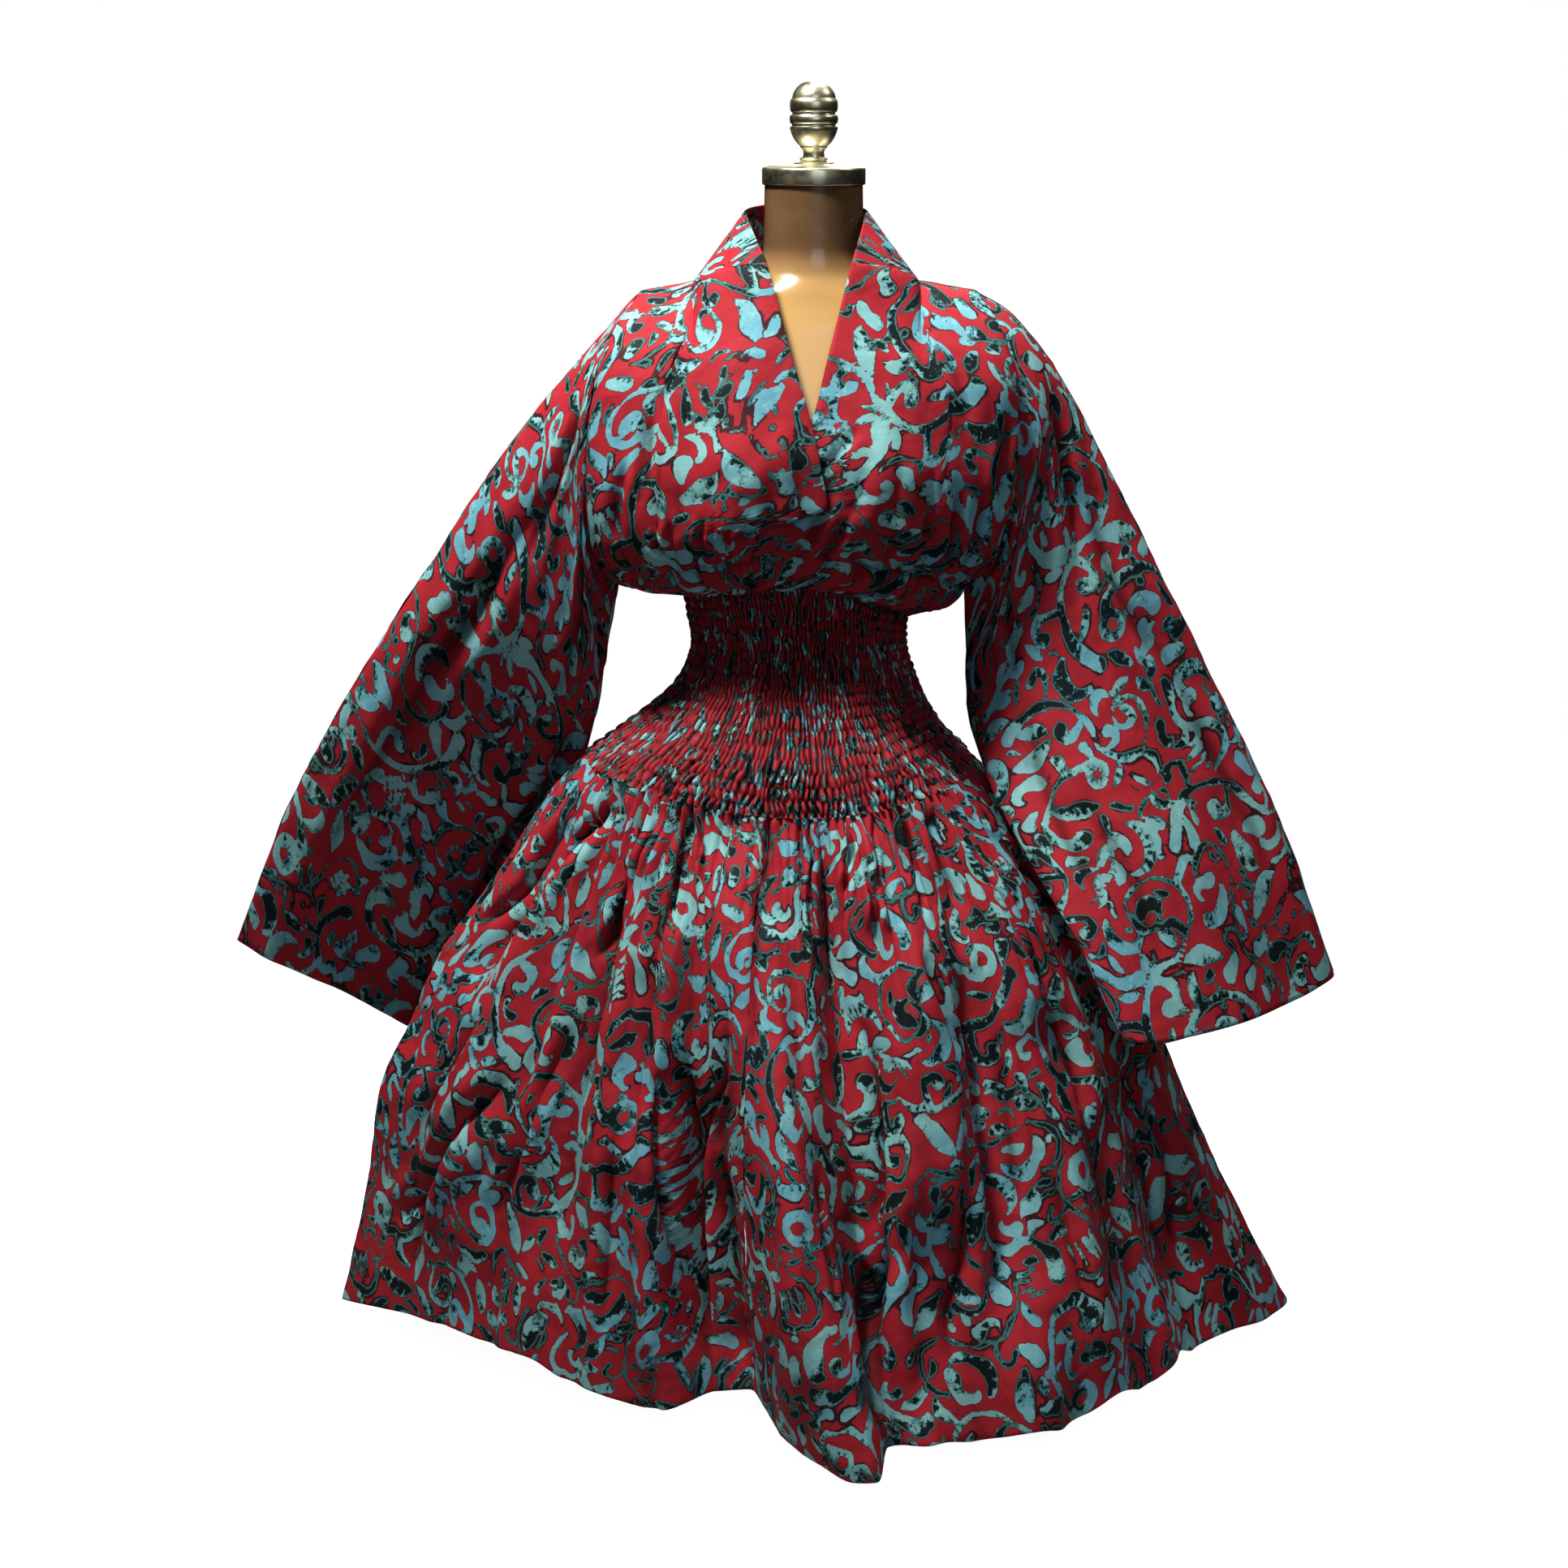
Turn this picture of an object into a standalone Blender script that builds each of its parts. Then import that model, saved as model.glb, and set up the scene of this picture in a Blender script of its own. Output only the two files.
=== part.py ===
"""A kimono-sleeved wrap dress with a smocked waist, worn by a countertop dress form.

Metres, +Z up, +X to the viewer's right, the front of the dress faces -Y.
The origin is the centre of the underside of the form's base plate.
Angles round the body are turned from the centre front, positive towards +X.
Every piece of cloth is a wall: a grid of outer points and a grid of inner ones,
joined round their edges. Pieces that are sewn together share the points of their
seam and stand a thread's width apart there.
"""

import math
from collections import namedtuple

import bpy
import numpy as np

# Driving sizes
CLOTH = 0.0016
SEAM_GAP = 0.0004
JOINT_GAP = 0.0003  # between the turned pieces of the form
WAIST_SEAM_GAP = 0.0007  # wider, as the two sides of this seam have unlike columns
HEM_HEIGHT = 0.030
NECK_RADIUS = 0.0545
NECK_TOP = 1.343
SEAT_GAP = 0.0004
SMOCK_GATHERS = 44  # on each half of the waist
SMOCK_DEPTH = 0.0026
SKIRT_GATHERS = 27  # on each half of the skirt's seam
SKIRT_GATHER_DEPTH = 0.0060
SKIRT_GATHERS_END = 0.42  # share of the skirt's length at which they have opened out
SKIRT_GATHERS_FADE = 1.5  # how fast they lose depth on the way there
SHARP_ANGLE = 40  # degrees between faces past which an edge is shaded sharp

# Colours as Blender sees them, roughness and metallic value
FINISHES = {
    "printed_cotton": ((0.52, 0.03, 0.04), 0.75, 0.0),
    "form_shell": ((0.42, 0.24, 0.09), 0.28, 0.0),
    "brass": ((0.72, 0.60, 0.32), 0.22, 1.0),
    "dark_steel": ((0.10, 0.10, 0.11), 0.40, 1.0),
}

# Sections of the torso tube of cloth, by height: how far it reaches to the viewer's
# left and right, to the front and to the back of its own middle.
Ring = namedtuple("Ring", "z middle left right front back")

SMOCK_RINGS = (
    Ring(0.655, -0.010, 0.290, 0.235, 0.186, 0.180),
    Ring(0.700, -0.012, 0.246, 0.190, 0.166, 0.164),
    Ring(0.745, -0.013, 0.186, 0.151, 0.133, 0.134),
    Ring(0.790, -0.014, 0.138, 0.131, 0.110, 0.108),
    Ring(0.833, -0.015, 0.122, 0.120, 0.100, 0.096),
    Ring(0.870, -0.017, 0.126, 0.124, 0.106, 0.099),
    Ring(0.910, -0.019, 0.134, 0.131, 0.116, 0.104),
)

SKIRT_RINGS = (
    Ring(0.030, 0.000, 0.563, 0.568, 0.420, 0.430),
    Ring(0.113, 0.000, 0.543, 0.522, 0.398, 0.408),
    Ring(0.194, 0.000, 0.526, 0.482, 0.375, 0.385),
    Ring(0.290, 0.000, 0.512, 0.440, 0.346, 0.352),
    Ring(0.372, 0.000, 0.475, 0.405, 0.318, 0.320),
    Ring(0.454, -0.002, 0.435, 0.362, 0.288, 0.288),
    Ring(0.523, -0.005, 0.384, 0.322, 0.258, 0.256),
    Ring(0.591, -0.008, 0.333, 0.276, 0.222, 0.220),
    Ring(0.655, -0.010, 0.290, 0.235, 0.186, 0.180),
    Ring(0.700, -0.012, 0.246, 0.190, 0.166, 0.164),
)

# Folds of the skirt: angle, reach and height of the hem there, how many degrees the
# fold has swung since the seam, and how late it opens: 1 evenly, below 1 soon.
Fold = namedtuple("Fold", "angle reach height swing late")

FRONT_FOLDS = (
    Fold(-90, 0.563, 0.030, 0, 1.0),
    Fold(-85, 0.508, 0.036, 0, 1.2),
    Fold(-78, 0.458, 0.041, 0, 1.1),
    Fold(-71, 0.444, 0.048, 0, 1.0),
    Fold(-64, 0.404, 0.045, 2, 0.6),
    Fold(-56, 0.398, 0.050, 4, 1.0),
    Fold(-49, 0.374, 0.034, 7, 0.9),
    Fold(-41, 0.380, 0.035, 11, 1.0),
    Fold(-34, 0.354, 0.021, 15, 0.9),
    Fold(-28, 0.362, 0.027, 18, 1.1),
    Fold(-21, 0.304, 0.035, 21, 0.8),
    Fold(-14, 0.298, 0.036, 22, 1.0),
    Fold(-7, 0.352, 0.022, 22, 1.1),
    Fold(0, 0.436, 0.017, 22, 1.3),
    Fold(5, 0.474, 0.011, 21, 1.3),
    Fold(8, 0.472, 0.010, 20, 1.3),
    Fold(11, 0.412, 0.022, 18, 1.1),
    Fold(17, 0.438, 0.031, 15, 1.2),
    Fold(24, 0.422, 0.022, 12, 1.0),
    Fold(31, 0.458, 0.037, 9, 1.1),
    Fold(39, 0.440, 0.023, 6, 1.0),
    Fold(47, 0.464, 0.046, 4, 1.1),
    Fold(56, 0.448, 0.027, 2, 0.8),
    Fold(64, 0.472, 0.047, 0, 1.0),
    Fold(71, 0.468, 0.030, 0, 0.8),
    Fold(77, 0.508, 0.037, 0, 1.0),
    Fold(84, 0.546, 0.032, 0, 1.0),
    Fold(90, 0.568, 0.026, 0, 1.0),
)

BACK_FOLDS = (
    Fold(90, 0.568, 0.026, 0, 1.0),
    Fold(98, 0.506, 0.034, 0, 1.0),
    Fold(106, 0.446, 0.030, 0, 0.9),
    Fold(115, 0.482, 0.042, 2, 1.0),
    Fold(125, 0.430, 0.028, 4, 0.8),
    Fold(135, 0.476, 0.038, 5, 1.0),
    Fold(146, 0.404, 0.026, 5, 0.8),
    Fold(156, 0.468, 0.038, 5, 1.1),
    Fold(168, 0.386, 0.024, 4, 0.9),
    Fold(179, 0.472, 0.036, 2, 1.1),
    Fold(191, 0.390, 0.024, 0, 0.8),
    Fold(201, 0.454, 0.037, -3, 1.0),
    Fold(213, 0.392, 0.026, -5, 0.9),
    Fold(223, 0.448, 0.039, -5, 1.1),
    Fold(234, 0.400, 0.030, -4, 0.8),
    Fold(244, 0.442, 0.044, -3, 1.0),
    Fold(254, 0.422, 0.034, 0, 0.9),
    Fold(263, 0.504, 0.036, 0, 1.0),
    Fold(270, 0.563, 0.030, 0, 1.0),
)

FRONT_SEAM_COLUMN = 23  # the skirt's front panels meet left of the centre ridge
SMOCK_TOP_LEFT, SMOCK_TOP_RIGHT = 0.893, 0.866  # heights of the bodice's waist seam
SMOCK_TOP_FRONT, SMOCK_TOP_BACK = 0.908, 0.892
SMOCK_HEM_SIDE, SMOCK_HEM_DIP, SMOCK_HEM_ROUND = 0.700, 0.036, 1.5
SKIRT_ROWS = (1.0, 0.88, 0.75, 0.62, 0.49, 0.36, 0.25, 0.15, 0.07, 0.0)  # hem to seam
SMOCK_ROWS = (0.0, 0.20, 0.40, 0.56, 0.69, 0.80, 0.90, 1.0)  # hem to top

# Bodice sections above the underarm, by their share of the way to the shoulder:
# half-width, middle, reach of the front and back at the middle and at the armhole,
# and how far the bust stands out.
Bodice = namedtuple(
    "Bodice", "share half middle front front_side bust back back_side"
)

BODICE_SECTIONS = (
    Bodice(0.00, 0.196, -0.0240, 0.130, 0.000, 0.006, 0.116, 0.000),
    Bodice(0.04, 0.212, -0.0225, 0.133, 0.026, 0.010, 0.119, 0.026),
    Bodice(0.14, 0.228, -0.0200, 0.138, 0.048, 0.018, 0.123, 0.048),
    Bodice(0.30, 0.237, -0.0160, 0.138, 0.060, 0.020, 0.124, 0.060),
    Bodice(0.50, 0.240, -0.0120, 0.126, 0.064, 0.014, 0.122, 0.064),
    Bodice(0.70, 0.234, -0.0090, 0.112, 0.062, 0.005, 0.116, 0.064),
    Bodice(0.87, 0.216, -0.0070, 0.098, 0.054, 0.000, 0.106, 0.058),
    Bodice(1.00, 0.189, -0.0050, 0.086, 0.044, 0.000, 0.096, 0.048),
)

UNDERARM_HEIGHT = 0.902
CHEST_RISE = 0.046  # how much higher the underarm section runs at the middle
SHOULDER_TIP_HEIGHT = 1.227
SHOULDER_ROUND = 0.11  # the top of the shoulder rounds over within this height
BUST_CENTRE, BUST_WIDTH = 0.085, 0.050
CHEST_SQUARE = 0.85  # below 1, the chest turns into the armhole more squarely
SIDE_SEAM_BOW = 1.6  # how the rows crowd towards the waist seam
WAIST_BLEND_END = -0.6  # the row by which the cloth has left the smocking's outline
SIDE_ROWS = 3  # grid rows from the waist seam to the underarm
ARM_ROWS = 11  # grid rows from the underarm to the shoulder
NECK_COLUMNS = 6  # grid columns along the collar seam, from its front to the shoulder
SHOULDER_COLUMNS = 4
BACK_NECK_COLUMNS = 10
NECK_SHARE = 0.66  # where the neck point's column runs, as a share of the half-width
NECK_COLUMN_TURNS = 0.6  # the row from which that column swings in to the neck point
NECK_CORNER_FROM = 0.75  # the row from which the corner at the neck point shows
LAP_LIFT = 0.0046  # how far the upper front stands off the one beneath it
LAP_STARTS, LAP_FULL = 0.050, 0.012  # that far outside the edge beneath it

# The neckline, an oval round the neck that the collar stands on
NECKLINE_MIDDLE = -0.008
NECKLINE_HALF = 0.1245
NECKLINE_FRONT, NECKLINE_BACK = 0.085, 0.078
NECK_POINT_HEIGHT = 1.238
COLLAR_FRONT_HEIGHT, COLLAR_BACK_HEIGHT = 1.262, 1.252
COLLAR_TOP_MIDDLE, COLLAR_TOP_HALF = -0.0085, 0.069
COLLAR_TOP_FRONT, COLLAR_TOP_BACK = 0.062, 0.078
COLLAR_TOP_HEIGHT, COLLAR_TOP_BACK_HEIGHT = 1.314, 1.322
COLLAR_ROWS = 5
COLLAR_WIDEST_START = math.radians(84)
COLLAR_FULL_AT = 0.93  # cosine of the angle from which the seam has its front height
COLLAR_LEAN_OUT, COLLAR_LEAN_UP = 0.8, 0.6  # the way that the cloth faces at the seam

# Front edges of the wrap, by height: x of the edge that lies on top, on the
# viewer's left front, and of the one that runs on under it. The top one ends in
# a pointed corner and turns back beneath it.
Edge = namedtuple("Edge", "z over under")

WRAP_EDGES = (
    Edge(0.880, -0.068, -0.110),
    Edge(0.972, -0.062, -0.104),
    Edge(1.003, 0.014, -0.084),
    Edge(1.050, 0.006, -0.034),
    Edge(1.100, -0.006, -0.001),
    Edge(1.154, -0.022, 0.013),
    Edge(1.262, -0.052, 0.041),
)
COLLAR_TOP_OVER, COLLAR_TOP_UNDER = -0.0755, 0.0575
WRAP_FOOT_LOW, WRAP_FOOT_RISE = 0.90, 0.03  # heights of the edges below the underarm

# Sleeves, from armhole to cuff: where the shoulder fold and the underarm seam run,
# half the sleeve's thickness between its front and back, and how far the middle of
# the section hangs past its two ends.
Station = namedtuple("Station", "share top_x top_y top_z low_x low_y low_z half sag")

LEFT_SLEEVE = (
    Station(0.00, -0.194, 0.000, 1.227, -0.220, 0.000, 0.902, 0.062, 0.000),
    Station(0.17, -0.266, 0.000, 1.149, -0.233, 0.004, 0.838, 0.057, 0.000),
    Station(0.34, -0.348, 0.000, 1.047, -0.245, 0.022, 0.770, 0.051, 0.000),
    Station(0.50, -0.429, 0.000, 0.930, -0.264, 0.068, 0.694, 0.045, 0.000),
    Station(0.67, -0.512, 0.000, 0.802, -0.299, 0.140, 0.590, 0.038, 0.000),
    Station(0.84, -0.600, 0.004, 0.652, -0.345, 0.222, 0.440, 0.033, -0.001),
    Station(1.00, -0.674, 0.010, 0.473, -0.405, 0.306, 0.236, 0.028, -0.004),
)

RIGHT_SLEEVE = (
    Station(0.00, 0.184, 0.000, 1.227, 0.172, 0.000, 0.902, 0.062, 0.000),
    Station(0.07, 0.224, 0.000, 1.200, 0.173, -0.001, 0.876, 0.060, 0.000),
    Station(0.17, 0.268, 0.000, 1.149, 0.175, -0.004, 0.836, 0.057, 0.000),
    Station(0.34, 0.337, 0.000, 1.022, 0.176, -0.022, 0.766, 0.051, 0.000),
    Station(0.50, 0.401, 0.000, 0.900, 0.192, -0.070, 0.700, 0.045, 0.000),
    Station(0.67, 0.468, 0.000, 0.766, 0.232, -0.140, 0.622, 0.038, 0.005),
    Station(0.84, 0.537, -0.010, 0.628, 0.287, -0.200, 0.536, 0.034, 0.014),
    Station(1.00, 0.601, -0.024, 0.453, 0.340, -0.250, 0.432, 0.031, 0.026),
)
SLEEVE_ROWS = 11
SLEEVE_LOOSE_FROM = 0.32  # past this share the sleeve has left the armhole's shape

# Long soft folds of a sleeve: where they lie between shoulder fold and underarm,
# how wide, how deep, and from which share of the sleeve they have opened.
Drape = namedtuple("Drape", "across width depth begin")

SLEEVE_DRAPES = (
    Drape(0.22, 0.07, -0.006, 0.30),
    Drape(0.42, 0.08, 0.008, 0.20),
    Drape(0.62, 0.08, -0.008, 0.35),
    Drape(0.82, 0.06, 0.007, 0.25),
)

# The form's torso, from its foot to the neck
FORM_RINGS = (
    Ring(0.540, -0.008, 0.142, 0.142, 0.098, 0.106),
    Ring(0.548, -0.008, 0.152, 0.152, 0.106, 0.114),
    Ring(0.595, -0.009, 0.164, 0.164, 0.117, 0.125),
    Ring(0.650, -0.010, 0.168, 0.168, 0.120, 0.129),
    Ring(0.710, -0.012, 0.156, 0.156, 0.114, 0.121),
    Ring(0.755, -0.013, 0.138, 0.137, 0.106, 0.108),
)
FORM_UPPER_RINGS = (
    Ring(0.905, -0.017, 0.121, 0.119, 0.100, 0.091),
    Ring(0.955, -0.014, 0.136, 0.134, 0.114, 0.094),
    Ring(1.005, -0.012, 0.149, 0.147, 0.128, 0.100),
    Ring(1.055, -0.010, 0.158, 0.156, 0.122, 0.104),
    Ring(1.110, -0.009, 0.165, 0.162, 0.108, 0.106),
    Ring(1.160, -0.008, 0.168, 0.164, 0.094, 0.100),
    Ring(1.195, -0.008, 0.164, 0.158, 0.084, 0.088),
    Ring(1.216, -0.007, 0.150, 0.142, 0.077, 0.076),
    Ring(1.228, -0.006, 0.124, 0.116, 0.073, 0.069),
    Ring(1.236, -0.004, 0.096, 0.090, 0.069, 0.065),
    Ring(1.250, -0.001, 0.068, 0.066, 0.061, 0.061),
    Ring(1.275, 0.000, 0.0560, 0.0560, 0.0555, 0.0565),
    Ring(NECK_TOP, 0.000, NECK_RADIUS, NECK_RADIUS, NECK_RADIUS, NECK_RADIUS),
)
SEAT_LOW, SEAT_MIDDLE, SEAT_HIGH, SEAT_STEPS = 0.790, 0.833, 0.872, 7
SEAT_OPENING = 2.2  # how fast the form leaves the smocking away from the waist, per metre
FORM_COLUMNS = 44  # so that every second smocking gather has a point behind it

# Turned pieces, as (radius, height above the piece's own foot)
CAP_PROFILE = (
    (0.0560, 0.000), (0.0575, 0.0015), (0.0575, 0.0175), (0.0560, 0.0195),
    (0.0400, 0.0225), (0.0180, 0.0245), (0.0150, 0.0260),
)
FINIAL_PROFILE = (
    (0.0140, 0.000), (0.0150, 0.0030), (0.0100, 0.0070), (0.0105, 0.0120),
    (0.0160, 0.0160), (0.0225, 0.0250), (0.0265, 0.0340), (0.0245, 0.0400),
    (0.0262, 0.0430), (0.0266, 0.0490), (0.0240, 0.0525), (0.0255, 0.0560),
    (0.0262, 0.0650), (0.0235, 0.0750), (0.0170, 0.0825), (0.0080, 0.0862),
)
POLE_PROFILE = (
    (0.0125, 0.000), (0.0125, 0.4900), (0.0190, 0.4930), (0.0190, 0.5130),
    (0.0270, 0.5190), (0.0270, 0.5234),
)
BASE_PROFILE = (
    (0.150, 0.000), (0.155, 0.0015), (0.155, 0.0065), (0.151, 0.0090), (0.060, 0.0125), (0.030, 0.0160),
)


def unit(vector):
    """The vector, or each row of an array of them, at length 1."""
    vector = np.asarray(vector, float)
    return vector / np.maximum(np.linalg.norm(vector, axis=-1, keepdims=True), 1e-12)


def smooth(rows, key, column, at):
    """A column of a table, read between its rows along a curve that never overshoots."""
    xs = np.array([getattr(row, key) for row in rows], float)
    ys = np.array([getattr(row, column) for row in rows], float)
    if xs[0] > xs[-1]:
        xs, ys = xs[::-1], ys[::-1]
    at = min(max(at, xs[0]), xs[-1])
    steps = np.diff(xs)
    slopes = np.diff(ys) / steps
    ends = np.zeros(len(xs))
    ends[0], ends[-1] = slopes[0], slopes[-1]
    for i in range(1, len(xs) - 1):
        before, after = slopes[i - 1], slopes[i]
        if before * after > 0:
            ends[i] = 2 * before * after / (before + after)
    i = int(min(np.searchsorted(xs, at, side="right") - 1, len(xs) - 2))
    q = (at - xs[i]) / steps[i]
    return (
        ys[i] * (1 + 2 * q) * (1 - q) ** 2
        + ends[i] * steps[i] * q * (1 - q) ** 2
        + ys[i + 1] * q * q * (3 - 2 * q)
        + ends[i + 1] * steps[i] * q * q * (q - 1)
    )


def ease(low, high, at):
    """0 below low, 1 above high, and an even swing between."""
    q = min(max((at - low) / (high - low), 0.0), 1.0)
    return q * q * (3 - 2 * q)


def oval_reach(angle, left, right, front, back):
    """How far an oval reaches at this angle from the centre front."""
    across = right if math.sin(angle) > 0 else left
    along = front if math.cos(angle) > 0 else back
    return 1 / math.hypot(math.sin(angle) / across, math.cos(angle) / along)


def ring_reach(rings, angle, z):
    values = [smooth(rings, "z", name, z) for name in ("left", "right", "front", "back")]
    return oval_reach(angle, *values)


def ring_point(rings, angle, z, extra=0.0):
    """A point on the tube that the rings describe, moved out by extra."""
    reach = ring_reach(rings, angle, z) + extra
    middle = smooth(rings, "z", "middle", z)
    return np.array([middle + reach * math.sin(angle), -reach * math.cos(angle), z])


def outward(angle):
    return np.array([math.sin(angle), -math.cos(angle), 0.0])


def smock_top(angle):
    """Height of the seam between bodice and smocking, which dips on the viewer's right."""
    side = SMOCK_TOP_LEFT if math.sin(angle) < 0 else SMOCK_TOP_RIGHT
    middle = SMOCK_TOP_FRONT if math.cos(angle) > 0 else SMOCK_TOP_BACK
    return side + (middle - side) * math.cos(angle) ** 2


def smock_hem(angle):
    """Height of the seam between smocking and skirt, lowest at the centre."""
    return SMOCK_HEM_SIDE - SMOCK_HEM_DIP * abs(math.cos(angle)) ** SMOCK_HEM_ROUND


def skirt_folds(angle, column):
    """One column of the fold tables at this angle."""
    degrees = (math.degrees(angle) + 90) % 360 - 90
    return smooth(FRONT_FOLDS if degrees <= 90 else BACK_FOLDS, "angle", column, degrees)


def skirt_point(angle, share):
    """A point of the skirt, from its seam at share 0 to its hem at share 1."""
    turned = angle + math.radians(skirt_folds(angle, "swing")) * (1 - share) * math.cos(angle) ** 2
    top = smock_hem(angle)
    bottom = skirt_folds(turned, "height")
    z = top + (bottom - top) * share
    fold = skirt_folds(turned, "reach") - ring_reach(SKIRT_RINGS, turned, HEM_HEIGHT)
    fold *= share ** skirt_folds(turned, "late")
    gather = max(1 - share / SKIRT_GATHERS_END, 0.0) ** SKIRT_GATHERS_FADE
    fold += gather * SKIRT_GATHER_DEPTH / 2 * math.cos(angle * 2 * SKIRT_GATHERS)
    return ring_point(SKIRT_RINGS, angle, z, fold)


def grid_normals(points):
    """Outward directions of a grid of points, [row][column], seen from outside."""
    points = np.asarray(points, float)
    along = np.gradient(points, axis=1)
    up = np.gradient(points, axis=0)
    return unit(np.cross(along, up))


def triangles_of_grid(points, first, inner=None):
    """Triangles of a grid, cut along its shorter diagonals, and of a grid behind it."""
    rows, columns = points.shape[:2]
    front, behind = [], []
    for r in range(rows - 1):
        for c in range(columns - 1):
            a, b = first + r * columns + c, first + (r + 1) * columns + c
            rising = np.linalg.norm(points[r, c] - points[r + 1, c + 1])
            falling = np.linalg.norm(points[r, c + 1] - points[r + 1, c])
            if rising <= falling:
                cut = [(a, a + 1, b + 1), (a, b + 1, b)]
            else:
                cut = [(a, a + 1, b), (a + 1, b + 1, b)]
            front += cut
            if inner is not None:
                behind += [tuple(p - first + inner for p in reversed(face)) for face in cut]
    return front, behind


def stitch(outer, inner):
    """Triangles between two runs of points that begin and end side by side."""
    faces, i, j = [], 0, 0
    outer_steps, inner_steps = len(outer) - 1, len(inner) - 1
    while i < outer_steps or j < inner_steps:
        outer_is_next = (i + 0.5) / outer_steps <= (j + 0.5) / inner_steps
        if j == inner_steps or (i < outer_steps and outer_is_next):
            faces.append((outer[i + 1], outer[i], inner[j]))
            i += 1
        else:
            faces.append((outer[i], inner[j], inner[j + 1]))
            j += 1
    return faces


def border(rows, columns, first):
    """The four edges of a grid, as runs of point numbers going round it."""
    last = first + rows * columns - 1
    return (
        list(range(first, first + columns)),
        list(range(first + columns - 1, last + 1, columns)),
        list(range(last, last - columns, -1)),
        list(range(first + (rows - 1) * columns, first - 1, -columns)),
    )


def finish_of(name):
    if name in bpy.data.materials:
        return bpy.data.materials[name]
    colour, roughness, metallic = FINISHES[name]
    material = bpy.data.materials.new(name)
    material.use_nodes = True
    shader = material.node_tree.nodes["Principled BSDF"]
    shader.inputs["Base Color"].default_value = (*colour, 1.0)
    shader.inputs["Roughness"].default_value = roughness
    shader.inputs["Metallic"].default_value = metallic
    return material


def new_object(name, points, faces, finish):
    mesh = bpy.data.meshes.new(name)
    mesh.from_pydata([tuple(p) for p in points], [], faces)
    mesh.shade_smooth()
    mesh.set_sharp_from_angle(angle=math.radians(SHARP_ANGLE))
    mesh.materials.append(finish_of(finish))
    thing = bpy.data.objects.new(name, mesh)
    bpy.context.scene.collection.objects.link(thing)
    return thing


def cloth_wall(name, outer, inner):
    """A closed wall of cloth between two grids of points, which may differ in size."""
    outer, inner = np.asarray(outer, float), np.asarray(inner, float)
    points = [*outer.reshape(-1, 3), *inner.reshape(-1, 3)]
    first = outer.shape[0] * outer.shape[1]
    if outer.shape == inner.shape:
        faces, behind = triangles_of_grid(outer, 0, first)
    else:
        faces = triangles_of_grid(outer, 0)[0]
        behind = [face[::-1] for face in triangles_of_grid(inner, first)[0]]
    faces += behind
    for run, other in zip(border(*outer.shape[:2], 0), border(*inner.shape[:2], first)):
        faces += stitch(run, other)
    return new_object(name, points, faces, "printed_cotton")


def turned_piece(name, profile, foot, finish, steps):
    """A round piece from its profile of (radius, height), closed at both ends."""
    points, faces = [], []
    for radius, height in profile:
        for i in range(steps):
            a = 2 * math.pi * i / steps
            points.append((radius * math.cos(a), radius * math.sin(a), foot + height))
    for r in range(len(profile) - 1):
        for i in range(steps):
            j = (i + 1) % steps
            a, b = r * steps, (r + 1) * steps
            faces.append((a + i, a + j, b + j, b + i))
    faces.append(tuple(reversed(range(steps))))
    faces.append(tuple(range((len(profile) - 1) * steps, len(profile) * steps)))
    return new_object(name, points, faces, finish)


def part_sides(outer, normals):
    """Stands the two side edges of a grid half a seam back from its neighbours."""
    for column, way in ((0, 1), (-1, -1)):
        flat = unit(normals[:, column] * (1, 1, 0))
        outer[:, column] += np.stack([-flat[:, 1], flat[:, 0], 0 * flat[:, 0]], 1) * way * SEAM_GAP / 2
    return outer


def skirt_panel(name, first, last):
    """A panel of the skirt between two of its columns, with its folds."""
    angles = [math.pi * (c / (2 * SKIRT_GATHERS) - 0.5) for c in range(first - 1, last + 2)]
    outer = np.array([[skirt_point(a, s) for a in angles] for s in SKIRT_ROWS])
    normals = grid_normals(outer)
    normals[-1] = [outward(a) for a in angles]
    outer, normals = outer[:, 1:-1], normals[:, 1:-1]
    outer[-1, :, 2] -= SEAM_GAP / 2
    outer = part_sides(outer, normals)
    return cloth_wall(name, outer, outer - normals * CLOTH)


def smock_grid(first, columns, depths):
    """A grid of points on one half of the waist, its depths repeated along the columns."""
    grid = []
    for rise in SMOCK_ROWS:
        run = []
        for c in range(columns + 1):
            angle = first + math.pi * c / columns
            low, high = smock_hem(angle) + SEAM_GAP / 2, smock_top(angle) - SEAM_GAP / 2
            depth = depths[c % len(depths)]
            run.append(ring_point(SMOCK_RINGS, angle, low + (high - low) * rise, depth))
        grid.append(run)
    return np.array(grid)


def smock_panel(name, back):
    """Half of the smocked waist: gathers raised in the outer face of a plain wall."""
    first = math.pi / 2 if back else -math.pi / 2
    outer = smock_grid(first, 2 * SMOCK_GATHERS, (-SMOCK_DEPTH / 2, SMOCK_DEPTH / 2))
    inner = smock_grid(first, FORM_COLUMNS // 2, (-CLOTH - SMOCK_DEPTH / 2,))
    for grid in (outer, inner):
        grid[:, (0, -1), 1] = SEAM_GAP / 2 if back else -SEAM_GAP / 2
    return cloth_wall(name, outer, inner)


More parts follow.
